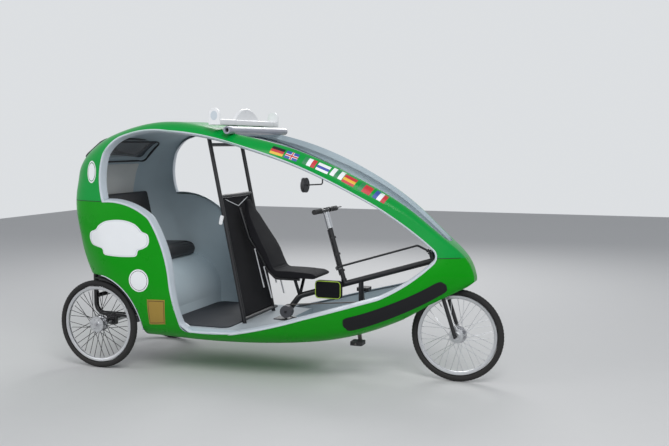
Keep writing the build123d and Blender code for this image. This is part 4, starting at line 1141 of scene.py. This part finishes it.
class RICKSHAW_OT_frame(bpy.types.Operator):
    """Paint of the frame, fork, column and drive, with the column's sleeve, clips and brake lines"""

    bl_idname = "rickshaw.frame"
    bl_label = "Frame"

    def execute(self, context):
        for node, key in FRAME_COATS:
            coat_node(node, key)
        foot, head = np.array(COLUMN_FOOT), np.array(COLUMN_HEAD)
        sleeve = foot + (head - foot) * np.linspace(0.74, 0.97, 6)[:, None]
        build("column_sleeve", "steering_column", [tube(sleeve, 20.5, 28)], [paint("silver")])
        along = foot + (head - foot) * np.linspace(0.06, 0.72, 30)[:, None]
        run = unit(head - foot)
        out = np.array((run[2], 0, -run[0]))
        for side, word in SIDES:
            line = along - 19.5 * out + np.array((0, side * 7.0, 0))
            build(f"brake_line_{word}", "steering_column", [tube(line, 2.6, 8)], [paint("plastic")])
        clips = []
        for share in (0.12, 0.36, 0.6):
            middle = foot + (head - foot) * share
            clips.append(tube(np.stack([middle - 7 * run, middle + 7 * run]), 23.0, 28))
        build("column_clips", "steering_column", clips, [paint("plastic")])
        return {"FINISHED"}


class RICKSHAW_OT_fittings(bpy.types.Operator):
    """Mirror rim and glass, and the side pouch with its piping"""

    bl_idname = "rickshaw.fittings"
    bl_label = "Fittings"

    def execute(self, context):
        centre = np.array(MIRROR_CENTRE)
        w = unit(np.array((-1, tan(radians(MIRROR_TURN)), 0)))
        v = np.array((0, 0, 1.0))
        u = np.cross(v, w)
        loop = ring(37, 48, 47)
        path = centre + loop[:, :1] * u + loop[:, 1:] * v + 12.5 * w
        build("mirror_rim", "body", [carried(path, ring(2.2, 8), across=w, closed=True)], [paint("steel")])
        glass = plate(ring(35.5, 48, 45.5), 12.3, 13.4, 0.3, centre, u, v, w)
        build("mirror_glass", "body", [glass], [paint("mirror")])
        low, high = box_mm("side_pouch")

        def pouch_seams(p):
            return (np.abs(p[:, 1] - low[1]) < 3) & (
                np.abs(p[:, 0] - (low[0] + high[0]) / 2) > 82) | (p[:, 1] > high[1] - 4)

        upholster("side_pouch_soft", "side_pouch", "cloth", 4.5, pouch_seams, cap=7.0)
        outline = rounded(high[0] - low[0] - 6, high[2] - low[2] - 6, 22, 9)
        centre = (low + high) / 2
        for word, y in (("outer", low[1] + 1.5), ("inner", high[1] - 8)):
            flat = np.full(len(outline), y)
            path = np.stack([centre[0] + outline[:, 0], flat, centre[2] + outline[:, 1]], -1)
            build(f"pouch_piping_{word}", "body", [tube(path, 3.2, 10, closed=True)], [paint("lime")])
        return {"FINISHED"}


class RICKSHAW_OT_stage(bpy.types.Operator):
    """Pale floor, soft light and the camera at the photograph's angle"""

    bl_idname = "rickshaw.stage"
    bl_label = "Stage"

    def execute(self, context):
        settings = context.scene.rickshaw_stage
        scene = context.scene
        grid = [[(x, y, 0) for x in (-9000, 12000)] for y in (-9000, 14000)]
        floor = build("floor", None, [surface(grid)], [paint("ground")], smooth=0)
        world = bpy.data.worlds.new("studio")
        world.use_nodes = True
        tree = world.node_tree
        back = tree.nodes["Background"]
        back.inputs["Color"].default_value = (0.9, 0.94, 1.0, 1)
        back.inputs["Strength"].default_value = 0.42 * settings.light
        pale = tree.nodes.new("ShaderNodeBackground")
        pale.inputs["Color"].default_value = (0.72, 0.74, 0.76, 1)
        ray = tree.nodes.new("ShaderNodeLightPath")
        seen = ray.outputs["Is Camera Ray"]
        link = tree.links.new
        for kind in ("Is Glossy Ray", "Is Transmission Ray"):
            both = tree.nodes.new("ShaderNodeMath")
            both.operation = "MAXIMUM"
            link(seen, both.inputs[0])
            link(ray.outputs[kind], both.inputs[1])
            seen = both.outputs[0]
        choose = tree.nodes.new("ShaderNodeMixShader")
        for k, socket in enumerate((seen, back.outputs[0], pale.outputs[0])):
            link(socket, choose.inputs[k])
        link(choose.outputs[0], tree.nodes["World Output"].inputs["Surface"])
        scene.world = world
        for name, spot, power, aim in LIGHTS:
            data = bpy.data.lights.new(name, "AREA")
            data.shape = "DISK"
            data.size = LIGHT_SIZE
            data.energy = power * settings.light
            lamp = bpy.data.objects.new(name, data)
            scene.collection.objects.link(lamp)
            lamp.location = spot
            x, y, z = np.subtract(aim, spot).tolist()
            lamp.rotation_euler = (atan2(hypot(x, y), -z), 0, atan2(y, x) - pi / 2)
        data = bpy.data.cameras.new("camera")
        data.lens = settings.lens
        data.sensor_width = 36
        camera = bpy.data.objects.new("camera", data)
        scene.collection.objects.link(camera)
        camera.location = CAMERA_PLACE
        camera.rotation_euler = (pi / 2 - settings.pitch, 0, settings.turn)
        scene.camera = camera
        scene.view_settings.view_transform = "Standard"
        return {"FINISHED"}


class RICKSHAW_PT_panel(bpy.types.Panel):
    """Sizes, colours and steps of the rickshaw"""

    bl_idname = "RICKSHAW_PT_panel"
    bl_label = "Rickshaw"
    bl_space_type = "VIEW_3D"
    bl_region_type = "UI"
    bl_category = "Rickshaw"

    def draw(self, context):
        column = self.layout.column()
        for holder, _ in SETTINGS:
            group = getattr(context.scene, holder)
            for key in group.__annotations__:
                column.prop(group, key)
        for operator in OPERATORS:
            column.operator(operator.bl_idname)


SETTINGS = (
    ("rickshaw_shell", ShellSettings), ("rickshaw_soft", SoftSettings), ("rickshaw_stage", StageSettings),
)
OPERATORS = (
    RICKSHAW_OT_stage, RICKSHAW_OT_shell, RICKSHAW_OT_window, RICKSHAW_OT_labels, RICKSHAW_OT_wheels,
    RICKSHAW_OT_cabin, RICKSHAW_OT_roof, RICKSHAW_OT_frame, RICKSHAW_OT_bench, RICKSHAW_OT_rider_seat,
    RICKSHAW_OT_fittings,
)
CLASSES = (*(group for _, group in SETTINGS), *OPERATORS, RICKSHAW_PT_panel)


def register():
    """Registers the classes and hangs the settings on the scene."""
    for cls in CLASSES:
        bpy.utils.register_class(cls)
    for holder, group in SETTINGS:
        setattr(bpy.types.Scene, holder, PointerProperty(type=group))


def unregister():
    """Takes the settings and the classes away."""
    for holder, _ in SETTINGS:
        delattr(bpy.types.Scene, holder)
    for cls in reversed(CLASSES):
        bpy.utils.unregister_class(cls)


def main():
    """Runs every step."""
    register()
    for operator in OPERATORS:
        group, name = operator.bl_idname.split(".")
        getattr(getattr(bpy.ops, group), name)()


if __name__ == "__main__":
    main()
